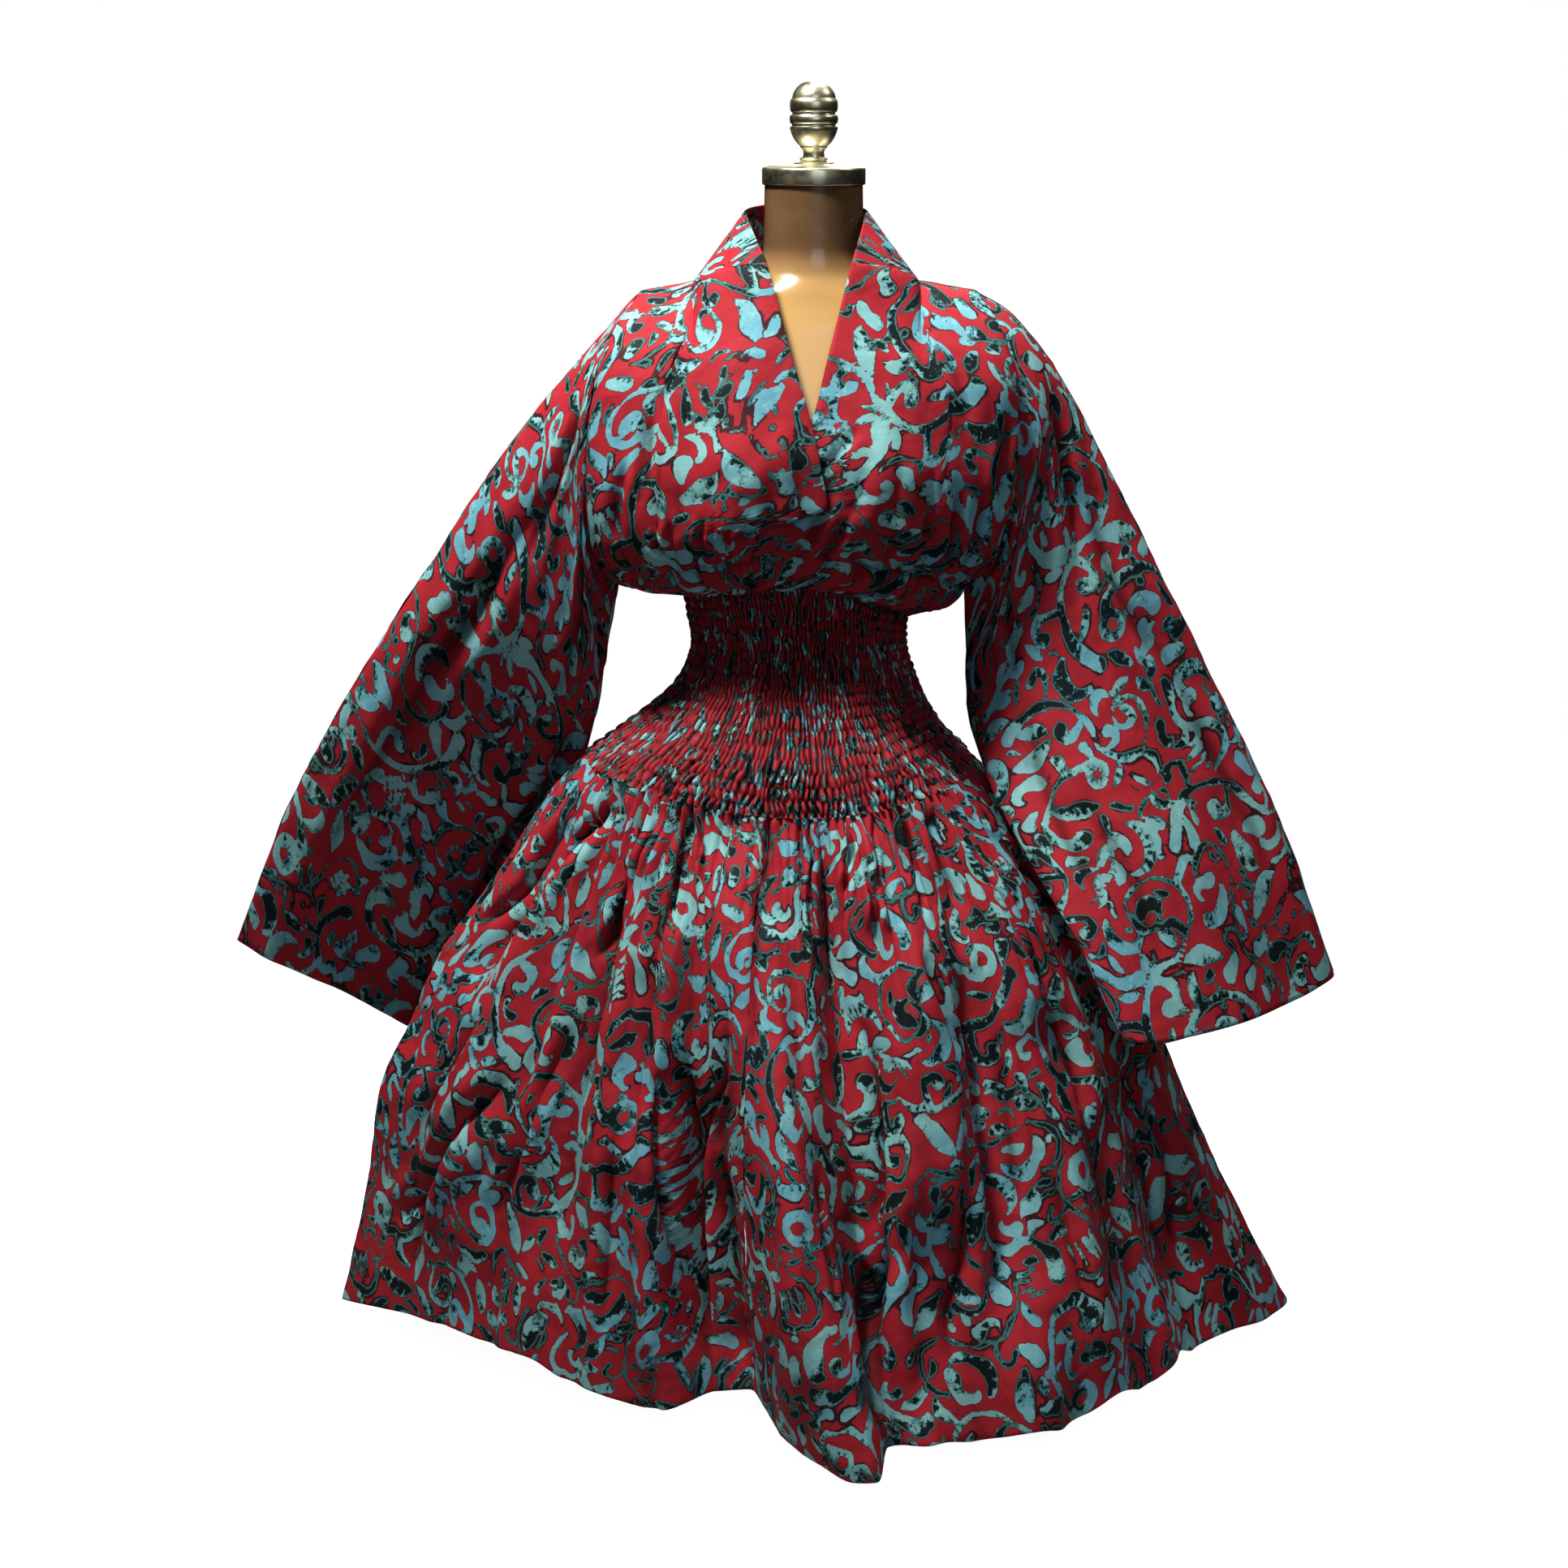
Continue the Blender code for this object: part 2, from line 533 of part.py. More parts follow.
def neckline_point(angle, share=0.0):
    """A point of the collar, from its seam at share 0 to its top edge at share 1."""
    front = math.cos(angle) > 0
    seam_rise = (COLLAR_FRONT_HEIGHT if front else COLLAR_BACK_HEIGHT) - NECK_POINT_HEIGHT
    rise = min(abs(math.cos(angle)) / (COLLAR_FULL_AT if front else 1.0), 1.0)
    low = NECK_POINT_HEIGHT + seam_rise * rise
    high = COLLAR_TOP_HEIGHT
    if not front:
        high += (COLLAR_TOP_BACK_HEIGHT - COLLAR_TOP_HEIGHT) * rise
    middle = NECKLINE_MIDDLE + (COLLAR_TOP_MIDDLE - NECKLINE_MIDDLE) * share
    half = NECKLINE_HALF + (COLLAR_TOP_HALF - NECKLINE_HALF) * share
    ahead = NECKLINE_FRONT + (COLLAR_TOP_FRONT - NECKLINE_FRONT) * share
    behind = NECKLINE_BACK + (COLLAR_TOP_BACK - NECKLINE_BACK) * share
    y = -(ahead if front else behind) * math.cos(angle)
    return np.array([middle + half * math.sin(angle), y, low + (high - low) * share])


def top_edge(x, back, row=1.0):
    """Depth and height of the upper edge of the front or back at this x.

    Below the seam the corner at the neck point is eased away.
    """
    sine = (x - NECKLINE_MIDDLE) / NECKLINE_HALF
    if abs(sine) < 1:
        angle = math.asin(sine)
        if back:
            angle = math.pi - angle
        point = neckline_point(angle)
        kept = ease(NECK_CORNER_FROM, 1.0, row)
        eased = math.cos(angle) ** 2 / max(abs(math.cos(angle)), 1e-6)
        share = kept + (1 - kept) * eased
        return abs(point[1]) * share, NECK_POINT_HEIGHT + (point[2] - NECK_POINT_HEIGHT) * share
    tip = BODICE_SECTIONS[-1]
    neck = NECKLINE_MIDDLE + math.copysign(NECKLINE_HALF, sine)
    end = tip.middle + math.copysign(tip.half, sine)
    run = min(max((x - neck) / (end - neck), 0.0), 1.0)
    return 0.0, NECK_POINT_HEIGHT + (SHOULDER_TIP_HEIGHT - NECK_POINT_HEIGHT) * run


def bodice_rows():
    """Where the grid rows lie: from -1 at the waist seam, 0 at the underarm, 1 at the top."""
    below = [-1 + i / SIDE_ROWS for i in range(SIDE_ROWS)]
    above = [(1 - math.cos(math.pi * i / ARM_ROWS)) / 2 for i in range(ARM_ROWS + 1)]
    return below + above


def section_at(row):
    """The bodice section at this row, as a Bodice."""
    names = Bodice._fields[1:]
    if row >= 0:
        return Bodice(row, *(smooth(BODICE_SECTIONS, "share", n, row) for n in names))
    waist = SMOCK_RINGS[-1]
    lower = Bodice(-1, waist.left, waist.middle, waist.front, 0.0, 0.0, waist.back, 0.0)
    upper = BODICE_SECTIONS[0]
    out = math.sin((row + 1) * math.pi / 2)
    values = {n: getattr(lower, n) + (getattr(upper, n) - getattr(lower, n)) * out for n in names}
    return Bodice(row, **values)


def bodice_point(row, back, x=None, x_share=0.0):
    """A point of the bodice at this x, or at this share of its section, from -1 to 1."""
    section = section_at(row)
    if x is not None:
        x_share = (x - section.middle) / section.half
    x_share = min(max(x_share, -1.0), 1.0)
    x = section.middle + section.half * x_share
    round_in = math.sqrt(max(1 - x_share * x_share, 0.0))
    under = UNDERARM_HEIGHT + CHEST_RISE * (1 - x_share * x_share)
    if row < 0:
        angle = angle_for(x_share, back, UNDERARM_HEIGHT)
        seam = smock_top(angle)
        waist = ring_point(SMOCK_RINGS, angle, seam)
        z = seam + (under - seam) * (row + 1) ** SIDE_SEAM_BOW
        reach = section.back if back else -section.front
        blend = ease(-1, WAIST_BLEND_END, row)
        flat = waist[:2] + (np.array([x, reach * round_in]) - waist[:2]) * blend
        return np.array([*flat, z])
    top_depth, top_z = top_edge(x, back, row)
    z = under + (top_z - under) * row
    middle, edge = (
        (section.back, section.back_side) if back else (section.front, section.front_side)
    )
    chest = edge + (middle - edge) * round_in**CHEST_SQUARE
    if not back:
        chest += section.bust * math.exp(-(((abs(x) - BUST_CENTRE) / BUST_WIDTH) ** 2))
    below = min((top_z - z) / SHOULDER_ROUND, 1.0)
    rounding = math.sqrt(max(1 - (1 - below) ** 2, 0.0))
    depth = top_depth * (1 - rounding) + chest * rounding
    return np.array([x, depth if back else -depth, z])


def angle_for(x_share, back, z):
    """The angle at which the smocking's top ring has this share of its width."""
    front_reach = smooth(SMOCK_RINGS, "z", "back" if back else "front", z)
    side = smooth(SMOCK_RINGS, "z", "right" if x_share > 0 else "left", z)
    round_in = math.sqrt(max(1 - x_share * x_share, 0.0))
    angle = math.atan2(side * x_share, front_reach * round_in)
    return math.pi - angle if back else angle


def collar_angles(side, share=0.0):
    """Angles of the collar's columns on one side, from its front edge to the shoulder."""
    seam = smooth(WRAP_EDGES, "z", "over" if side < 0 else "under", COLLAR_FRONT_HEIGHT)
    top = COLLAR_TOP_OVER if side < 0 else COLLAR_TOP_UNDER
    middle = NECKLINE_MIDDLE + (COLLAR_TOP_MIDDLE - NECKLINE_MIDDLE) * share
    half = NECKLINE_HALF + (COLLAR_TOP_HALF - NECKLINE_HALF) * share
    sine = (seam + (top - seam) * share - middle) / half
    first = min(abs(math.asin(min(max(sine, -1), 1))), COLLAR_WIDEST_START)
    return [first + (math.pi / 2 - first) * i / NECK_COLUMNS for i in range(NECK_COLUMNS + 1)]


def neck_column(section, side, row):
    """x of the column that ends at the neck point."""
    neck = section.middle + side * section.half * NECK_SHARE
    return neck + (NECKLINE_MIDDLE + side * NECKLINE_HALF - neck) * ease(NECK_COLUMN_TURNS, 1.0, row)


def front_columns(side, row):
    """x of each column of a front panel in this row, from its free edge outwards."""
    section = section_at(row)
    under = UNDERARM_HEIGHT + CHEST_RISE
    if row < 0:
        z = WRAP_FOOT_LOW + WRAP_FOOT_RISE * (row + 1)
    else:
        z = under + (COLLAR_FRONT_HEIGHT - under) * row
    edge = smooth(WRAP_EDGES, "z", "over" if side < 0 else "under", z)
    outer = section.middle + side * section.half
    neck = neck_column(section, side, row)
    angles = collar_angles(side)
    shares = [(math.sin(a) - math.sin(angles[0])) / (1 - math.sin(angles[0])) for a in angles]
    xs = [edge + (neck - edge) * s for s in shares]
    quarter = math.pi / 2 / SHOULDER_COLUMNS
    xs += [neck + (outer - neck) * math.sin(quarter * (i + 1)) for i in range(SHOULDER_COLUMNS)]
    return xs


def seam_frame(normals, back, side_columns):
    """Turns the edge directions of a bodice panel so that seams have parallel walls."""
    for column, side in side_columns:
        for r in range(normals.shape[0]):
            if r < SIDE_ROWS:
                fall = r / SIDE_ROWS
                normals[r, column] = unit([side * (1 - fall), 0.0, -fall])
            else:
                normals[r, column] = armhole_normal(side, r - SIDE_ROWS, back)
    return normals


def armhole_normal(side, i, back):
    """The direction out of the armhole's loop at its point i, in the loop's own plane."""
    rows = bodice_rows()[SIDE_ROWS:]
    here = bodice_point(rows[i], back, x_share=side)
    before = bodice_point(rows[max(i - 1, 0)], back, x_share=side)
    after = bodice_point(rows[min(i + 1, ARM_ROWS)], back, x_share=side)
    if i == 0:
        return np.array([0.0, 0.0, -1.0])
    if i == ARM_ROWS:
        return np.array([0.0, 0.0, 1.0])
    run = after - before
    normal = np.array([0.0, -run[2], run[1]])
    if (normal[1] > 0) != (here[1] > 0):
        normal = -normal
    return unit(normal)


def collar_seam_normal(angle):
    """The way that the cloth faces along the collar's seam."""
    return unit(outward(angle) * COLLAR_LEAN_OUT + np.array([0, 0, COLLAR_LEAN_UP]))


def collar_seam_along(angle):
    """The way up the collar, square to its seam."""
    return unit(outward(angle) * -COLLAR_LEAN_UP + np.array([0, 0, COLLAR_LEAN_OUT]))


def close_top(outer, normals, angles, shoulder, back):
    """Sets the top row: angles along the collar seam, and the shoulder seam past it."""
    off = SEAM_GAP / 2 if back else -SEAM_GAP / 2
    for column, angle in angles:
        normals[-1, column] = collar_seam_normal(angle)
        outer[-1, column] = neckline_point(angle) - collar_seam_along(angle) * SEAM_GAP / 2
    for column, side, share in shoulder:
        out = COLLAR_LEAN_OUT * (1 - share)
        up = 1 - (1 - COLLAR_LEAN_UP) * (1 - share)
        normals[-1, column] = unit([side * out, 0.0, up])
        outer[-1, column, 1] = off
    return outer, normals


def front_panel(name, side):
    """A front of the wrap bodice. The viewer's left one lies over the other."""
    rows = bodice_rows()
    outer = np.array(
        [[bodice_point(row, False, x=x) for x in front_columns(side, row)] for row in rows]
    )
    if side < 0:
        outer = lift_overlap(outer)[:, ::-1]
    normals = grid_normals(outer)
    last = outer.shape[1] - 1
    angles = collar_angles(side)
    place = (lambda c: c) if side > 0 else (lambda c: last - c)
    normals[0] = [unit([n[0], n[1], 0.0]) for n in normals[0]]
    outer[0, :, 2] += WAIST_SEAM_GAP
    normals = seam_frame(normals, False, [(place(last), side)])
    outer[:, place(last), 0] -= side * SEAM_GAP / 2
    outer[: SIDE_ROWS + 1, place(last), 1] = -SEAM_GAP / 2
    seam = [(place(i), side * a) for i, a in enumerate(angles)]
    shoulder = [
        (place(NECK_COLUMNS + i), side, i / SHOULDER_COLUMNS) for i in range(1, SHOULDER_COLUMNS + 1)
    ]
    outer, normals = close_top(outer, normals, seam, shoulder, False)
    outer[-1, place(NECK_COLUMNS), 1] -= SEAM_GAP / 2
    return cloth_wall(name, outer, outer - normals * CLOTH)


def lift_overlap(outer):
    """Moves the lapped part of the upper front clear of the front beneath it."""
    normals = grid_normals(outer[:, ::-1])[:, ::-1]
    normals[:, :, 2] = 0.0
    normals = unit(normals)
    for r in range(outer.shape[0]):
        for c in range(outer.shape[1]):
            x = outer[r, c, 0]
            z = outer[r, c, 2]
            under = smooth(WRAP_EDGES, "z", "under", z)
            lap = ease(under - LAP_STARTS, under - LAP_FULL, x)
            outer[r, c] += normals[r, c] * lap * LAP_LIFT
    return outer


def back_panel(name):
    """The back of the bodice, from armhole to armhole."""
    rows = bodice_rows()
    outer = []
    for row in rows:
        section = section_at(row)
        run = []
        for side in (1, -1):
            neck = neck_column(section, side, row)
            end = section.middle + side * section.half
            quarter = math.pi / 2 / SHOULDER_COLUMNS
            past = [
                neck + (end - neck) * math.sin(quarter * i) for i in range(SHOULDER_COLUMNS, -1, -1)
            ]
            run.append((neck, past))
        (right_neck, right), (left_neck, left) = run
        middle, half = (right_neck + left_neck) / 2, (right_neck - left_neck) / 2
        across = [
            middle + half * math.cos(math.pi * i / BACK_NECK_COLUMNS)
            for i in range(1, BACK_NECK_COLUMNS)
        ]
        xs = right + across + left[::-1]
        outer.append([bodice_point(row, True, x=x) for x in xs])
    outer = np.array(outer)
    normals = grid_normals(outer)
    normals[0] = [unit([n[0], n[1], 0.0]) for n in normals[0]]
    outer[0, :, 2] += WAIST_SEAM_GAP
    last = outer.shape[1] - 1
    normals = seam_frame(normals, True, [(0, 1), (last, -1)])
    outer[:, 0, 0] -= SEAM_GAP / 2
    outer[:, last, 0] += SEAM_GAP / 2
    outer[: SIDE_ROWS + 1, 0, 1] = SEAM_GAP / 2
    outer[: SIDE_ROWS + 1, last, 1] = SEAM_GAP / 2
    seam = [
        (SHOULDER_COLUMNS + i, math.pi / 2 + math.pi * i / BACK_NECK_COLUMNS)
        for i in range(BACK_NECK_COLUMNS + 1)
    ]
    shoulder = [(i, 1, 1 - i / SHOULDER_COLUMNS) for i in range(SHOULDER_COLUMNS)]
    shoulder += [(last - i, -1, 1 - i / SHOULDER_COLUMNS) for i in range(SHOULDER_COLUMNS)]
    outer, normals = close_top(outer, normals, seam, shoulder, True)
    for column in (SHOULDER_COLUMNS, last - SHOULDER_COLUMNS):
        outer[-1, column, 1] += SEAM_GAP / 2
    return cloth_wall(name, outer, outer - normals * CLOTH)


def collar_panel(name):
    """The standing collar, open at the front."""
    outer = []
    for r in range(COLLAR_ROWS + 1):
        share = r / COLLAR_ROWS
        left = [-a for a in collar_angles(-1, share)]
        right = collar_angles(1, share)[::-1]
        around = [math.pi / 2 + math.pi * i / BACK_NECK_COLUMNS for i in range(1, BACK_NECK_COLUMNS)]
        angles = right[::-1] + around + [2 * math.pi + a for a in left[::-1]]
        outer.append([neckline_point(a, share) for a in angles])
        if r == 0:
            seam = angles
    outer = np.array(outer)
    normals = grid_normals(outer)
    for c, a in enumerate(seam):
        normals[0, c] = collar_seam_normal(a)
        outer[0, c] += collar_seam_along(a) * SEAM_GAP / 2
    return cloth_wall(name, outer, outer - normals * CLOTH)


def sleeve_frame(stations, share):
    """Middle, half-span from underarm to shoulder fold, and forward direction of a section."""
    names = Station._fields[1:]
    top_x, top_y, top_z, low_x, low_y, low_z, half, sag = (
        smooth(stations, "share", n, share) for n in names
    )
    top, low = np.array([top_x, top_y, top_z]), np.array([low_x, low_y, low_z])
    span = (top - low) / 2
    ahead = 0.02
    names = names[:6]
    later = [smooth(stations, "share", n, min(share + ahead, 1)) for n in names]
    sooner = [smooth(stations, "share", n, max(share - ahead, 0)) for n in names]
    run = np.array(later[:3]) + later[3:] - np.array(sooner[:3]) - sooner[3:]
    back = np.cross(unit(run), unit(span))
    if back[1] < 0:
        back = -back
    return (top + low) / 2, span, unit(back), unit(run) * sag, half


def sleeve_panel(name, stations, side, back):
    """The front or the back of one sleeve, with its long soft folds."""
    loop = [bodice_point(row, back, x_share=side) for row in bodice_rows()[SIDE_ROWS:]]
    loop_normals = [armhole_normal(side, i, back) for i in range(ARM_ROWS + 1)]
    middle, span, rearward, _, _ = sleeve_frame(stations, 0.0)
    start = []
    for point in loop:
        away = point - middle
        rise, thick = away @ span / (span @ span), away @ rearward
        start.append((rise, thick, away - rise * span - thick * rearward))
    outer = []
    for r in range(SLEEVE_ROWS + 1):
        share = r / SLEEVE_ROWS
        middle, span, rearward, sag, half = sleeve_frame(stations, share)
        loose = ease(0.0, SLEEVE_LOOSE_FROM, share)
        run = []
        for i in range(ARM_ROWS + 1):
            turn = math.pi * (1 - i / ARM_ROWS)
            rise, thick, rest = start[i]
            puff = half * math.sin(turn) * (1 if back else -1)
            for drape in SLEEVE_DRAPES:
                opened = ease(drape.begin, 1.0, share)
                bump = math.exp(-(((i / ARM_ROWS - drape.across) / drape.width) ** 2))
                puff += (1 if back else -1) * drape.depth * opened * bump
            run.append(
                middle
                + span * (rise + (math.cos(turn) - rise) * loose)
                + rearward * (thick + (puff - thick) * loose)
                + rest * (1 - loose)
                + sag * math.sin(turn)
            )
        outer.append(run)
    outer = np.array(outer)
    if (side > 0) != back:
        outer = outer.transpose(1, 0, 2)
    else:
        outer = outer[::-1].transpose(1, 0, 2)
    normals = grid_normals(outer)
    first_column = 0 if (side > 0) != back else -1
    for i in range(ARM_ROWS + 1):
        normals[i, first_column] = loop_normals[i]
        outer[i, first_column] = loop[i] + np.array([side * SEAM_GAP / 2, 0.0, 0.0])
    for r in range(SLEEVE_ROWS + 1):
        column = r if (side > 0) != back else SLEEVE_ROWS - r
        _, span, rearward, _, _ = sleeve_frame(stations, r / SLEEVE_ROWS)
        step = rearward * SEAM_GAP / 2 * (1 if back else -1)
        for row, way in ((0, -1), (ARM_ROWS, 1)):
            if r > 0:
                normals[row, column] = unit(span) * way
            outer[row, column] += step
    return cloth_wall(name, outer, outer - normals * CLOTH)


def seat_rings():
    """Rings of the form where the smocking grips it, just inside the cloth."""
    found = []
    for i in range(SEAT_STEPS):
        z = SEAT_LOW + (SEAT_HIGH - SEAT_LOW) * i / (SEAT_STEPS - 1)
        inset = CLOTH + SMOCK_DEPTH / 2 + SEAT_GAP + SEAT_OPENING * (z - SEAT_MIDDLE) ** 2
        values = [smooth(SMOCK_RINGS, "z", n, z) - inset for n in ("left", "right", "front", "back")]
        found.append(Ring(z, smooth(SMOCK_RINGS, "z", "middle", z), *values))
    return tuple(found)


def form_torso(name):
    """The limbless torso of the form, closed at its foot and at the top of the neck."""
    rings = FORM_RINGS + seat_rings() + FORM_UPPER_RINGS
    points, faces = [], []
    for ring in rings:
        for c in range(FORM_COLUMNS):
            angle = math.pi / 2 + 2 * math.pi * c / FORM_COLUMNS
            reach = oval_reach(angle, ring.left, ring.right, ring.front, ring.back)
            points.append((ring.middle + reach * math.sin(angle), -reach * math.cos(angle), ring.z))
    for r in range(len(rings) - 1):
        for c in range(FORM_COLUMNS):
            d = (c + 1) % FORM_COLUMNS
            a, b = r * FORM_COLUMNS, (r + 1) * FORM_COLUMNS
            faces.append((a + c, a + d, b + d, b + c))
    faces.append(tuple(reversed(range(FORM_COLUMNS))))
    faces.append(tuple(range((len(rings) - 1) * FORM_COLUMNS, len(rings) * FORM_COLUMNS)))
    return new_object(name, points, faces, "form_shell")


def clear_scene():
    for thing in list(bpy.data.objects):
        bpy.data.objects.remove(thing)


def build_dress():
    half = 2 * SKIRT_GATHERS
    skirt_panel("skirt_front_left", 0, FRONT_SEAM_COLUMN)
    skirt_panel("skirt_front_right", FRONT_SEAM_COLUMN, half)
    skirt_panel("skirt_back_right", half, half + SKIRT_GATHERS)
    skirt_panel("skirt_back_left", half + SKIRT_GATHERS, 2 * half)
    smock_panel("waist_smocked_front", back=False)
    smock_panel("waist_smocked_back", back=True)
    front_panel("bodice_front_over", side=-1)
    front_panel("bodice_front_under", side=1)
    back_panel("bodice_back")
    collar_panel("collar")
    for name, stations, side in (("left", LEFT_SLEEVE, -1), ("right", RIGHT_SLEEVE, 1)):
        sleeve_panel(f"sleeve_{name}_front", stations, side, back=False)
        sleeve_panel(f"sleeve_{name}_back", stations, side, back=True)


def build_form():
    form_torso("form_torso")
    turned_piece("neck_cap", CAP_PROFILE, NECK_TOP + JOINT_GAP, "brass", 32)
    cap_top = NECK_TOP + JOINT_GAP + CAP_PROFILE[-1][1]
    turned_piece("finial", FINIAL_PROFILE, cap_top + JOINT_GAP, "brass", 20)
    turned_piece("pole", POLE_PROFILE, BASE_PROFILE[-1][1] + JOINT_GAP, "dark_steel", 20)
    turned_piece("base_plate", BASE_PROFILE, 0.0, "dark_steel", 36)


clear_scene()
build_dress()
build_form()
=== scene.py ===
"""The looks of a kimono-sleeved wax-print dress worn by a countertop dress form.

Metres, +Z up, +X to the viewer's right, the front of the dress faces -Y.
Each piece of cloth is one thin sheet on a fine grid. It lies on the form of its CAD
solid, with its gathers, folds and creases added, and its free edges turned under.
The print is laid out once, as a tile that holds the distance to the nearest motif,
and is read into each grid in the cloth's own coordinates, so it bends with the folds.
"""

import math
from collections import namedtuple

import bpy
import numpy as np
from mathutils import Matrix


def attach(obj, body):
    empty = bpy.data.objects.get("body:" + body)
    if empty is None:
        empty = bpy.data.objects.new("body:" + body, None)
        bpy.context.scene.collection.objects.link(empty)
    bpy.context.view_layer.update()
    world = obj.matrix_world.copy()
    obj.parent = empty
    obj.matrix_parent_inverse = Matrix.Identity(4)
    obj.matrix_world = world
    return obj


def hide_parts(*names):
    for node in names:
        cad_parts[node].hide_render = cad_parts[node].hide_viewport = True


# Fineness of the grids, in metres between points
FRONT_SPACING = 0.0032
BACK_SPACING = 0.0042
SLEEVE_SPACING = 0.0040
BODICE_SPACING = 0.0034
FORM_COLUMNS = 112

# Driving sizes of the dress
SEAM_GAP = 0.0004
WAIST_SEAM_GAP = 0.0007
HEM_HEIGHT = 0.030
NECK_RADIUS = 0.0545
NECK_TOP = 1.343
JOINT_GAP = 0.0003
EDGE_INSET = 0.0013  # how far a turned-under edge lies behind the cloth
EDGE_TURN = 4  # grid rows that are turned under

# Smocked waist
PUFFS_AROUND = 158
PUFF_DEPTH = 0.0054
PUFF_SAMPLES = 6.0  # grid columns for each puff
THREAD_ROWS = 18
THREAD_WANDER = 0.45  # of a row, up and down
PUFF_STAGGER = 1.7  # how far a row's puffs move aside from the next row's, in radians
# the slits between the puffs are given painted shade between these heights
SLIT_FROM, SLIT_TO = 0.50, 1.00  # heights of a puff between which a slit opens
SLIT_THINNING = 0.0014  # how much narrower the drawn-in motifs look
# the next value is painted shade: it gives the smocked waist's print more ink
SMOCK_SHADE_INK = 0.9  # how much darker they are
SMOCK_GRID_ROWS = 104
SMOCK_DEEPER_BELOW = 0.80
SMOCK_CLOTH_WIDTH = 1.05  # of each half, before its threads draw it in
SMOCK_TOP_LEFT, SMOCK_TOP_RIGHT = 0.893, 0.866
SMOCK_TOP_FRONT, SMOCK_TOP_BACK = 0.908, 0.892
SMOCK_HEM_SIDE, SMOCK_HEM_DIP, SMOCK_HEM_ROUND = 0.700, 0.036, 1.5

# Hollows of the cloth get painted shade: how many grid cells to each side they are judged
# over, the depths between which the painted shade grows, and how much of it
FOLD_SHADE_SIZES = ((5, 0.0006, 0.0034, 0.42), (14, 0.0020, 0.0100, 0.30))

# Gathers of the bodice above the smocking: their spacing, depth, reach up and seed
WAIST_GATHERS = ((0.0145, 0.0062, 0.16, 41), (0.036, 0.0095, 0.22, 45))

# Gathers of the skirt under its seam
GATHERS_AROUND = 108
GATHER_DEPTH = 0.0125
GATHERS_END = 0.40
TUCKS_AROUND = 38  # broader tucks among the gathers
TUCK_DEPTH = 0.011
TUCKS_END = 0.55
GATHER_DRIFT, TUCK_DRIFT = 2.2, 1.6  # how far they wander, in radians of their waves
GATHER_LEVEL, TUCK_LEVEL = 0.66, 0.62  # share of a wave that is pressed below the cloth
RIPPLE_DEPTH = 0.010  # of the skirt's loose cloth towards its hem

Ring = namedtuple("Ring", "z middle left right front back")

SMOCK_RINGS = (
    Ring(0.655, -0.010, 0.290, 0.235, 0.186, 0.180),
    Ring(0.700, -0.012, 0.246, 0.190, 0.166, 0.164),
    Ring(0.745, -0.013, 0.186, 0.151, 0.133, 0.134),
    Ring(0.790, -0.014, 0.138, 0.131, 0.110, 0.108),
    Ring(0.833, -0.015, 0.122, 0.120, 0.100, 0.096),
    Ring(0.870, -0.017, 0.126, 0.124, 0.106, 0.099),
    Ring(0.910, -0.019, 0.134, 0.131, 0.116, 0.104),
)

SKIRT_RINGS = (
    Ring(0.030, 0.000, 0.563, 0.568, 0.420, 0.430),
    Ring(0.113, 0.000, 0.543, 0.522, 0.398, 0.408),
    Ring(0.194, 0.000, 0.526, 0.482, 0.375, 0.385),
    Ring(0.290, 0.000, 0.512, 0.440, 0.346, 0.352),
    Ring(0.372, 0.000, 0.475, 0.405, 0.318, 0.320),
    Ring(0.454, -0.002, 0.435, 0.362, 0.288, 0.288),
    Ring(0.523, -0.005, 0.384, 0.322, 0.258, 0.256),
    Ring(0.591, -0.008, 0.333, 0.276, 0.222, 0.220),
    Ring(0.655, -0.010, 0.290, 0.235, 0.186, 0.180),
    Ring(0.700, -0.012, 0.246, 0.190, 0.166, 0.164),
)

# Folds of the skirt: angle, reach and height of the hem there, how many degrees the
# fold has swung since the seam, and how late it opens.
Fold = namedtuple("Fold", "angle reach height swing late")

FRONT_FOLDS = (
    Fold(-90, 0.563, 0.030, 0, 1.0),
    Fold(-85, 0.508, 0.036, 0, 1.2),
    Fold(-78, 0.458, 0.041, 0, 1.1),
    Fold(-71, 0.444, 0.048, 0, 1.0),
    Fold(-64, 0.404, 0.045, 2, 0.6),
    Fold(-56, 0.398, 0.050, 4, 1.0),
    Fold(-49, 0.374, 0.034, 7, 0.9),
    Fold(-41, 0.380, 0.035, 11, 1.0),
    Fold(-34, 0.354, 0.021, 15, 0.9),
    Fold(-28, 0.362, 0.027, 18, 1.1),
    Fold(-21, 0.304, 0.035, 21, 0.8),
    Fold(-14, 0.298, 0.036, 22, 1.0),
    Fold(-7, 0.352, 0.022, 22, 1.1),
    Fold(0, 0.436, 0.017, 22, 1.3),
    Fold(5, 0.474, 0.011, 21, 1.3),
    Fold(8, 0.472, 0.010, 20, 1.3),
    Fold(11, 0.412, 0.022, 18, 1.1),
    Fold(17, 0.438, 0.031, 15, 1.2),
    Fold(24, 0.422, 0.022, 12, 1.0),
    Fold(31, 0.458, 0.037, 9, 1.1),
    Fold(39, 0.440, 0.023, 6, 1.0),
    Fold(47, 0.464, 0.046, 4, 1.1),
    Fold(56, 0.448, 0.027, 2, 0.8),
    Fold(64, 0.472, 0.047, 0, 1.0),
    Fold(71, 0.468, 0.030, 0, 0.8),
    Fold(77, 0.508, 0.037, 0, 1.0),
    Fold(84, 0.546, 0.032, 0, 1.0),
    Fold(90, 0.568, 0.026, 0, 1.0),
)

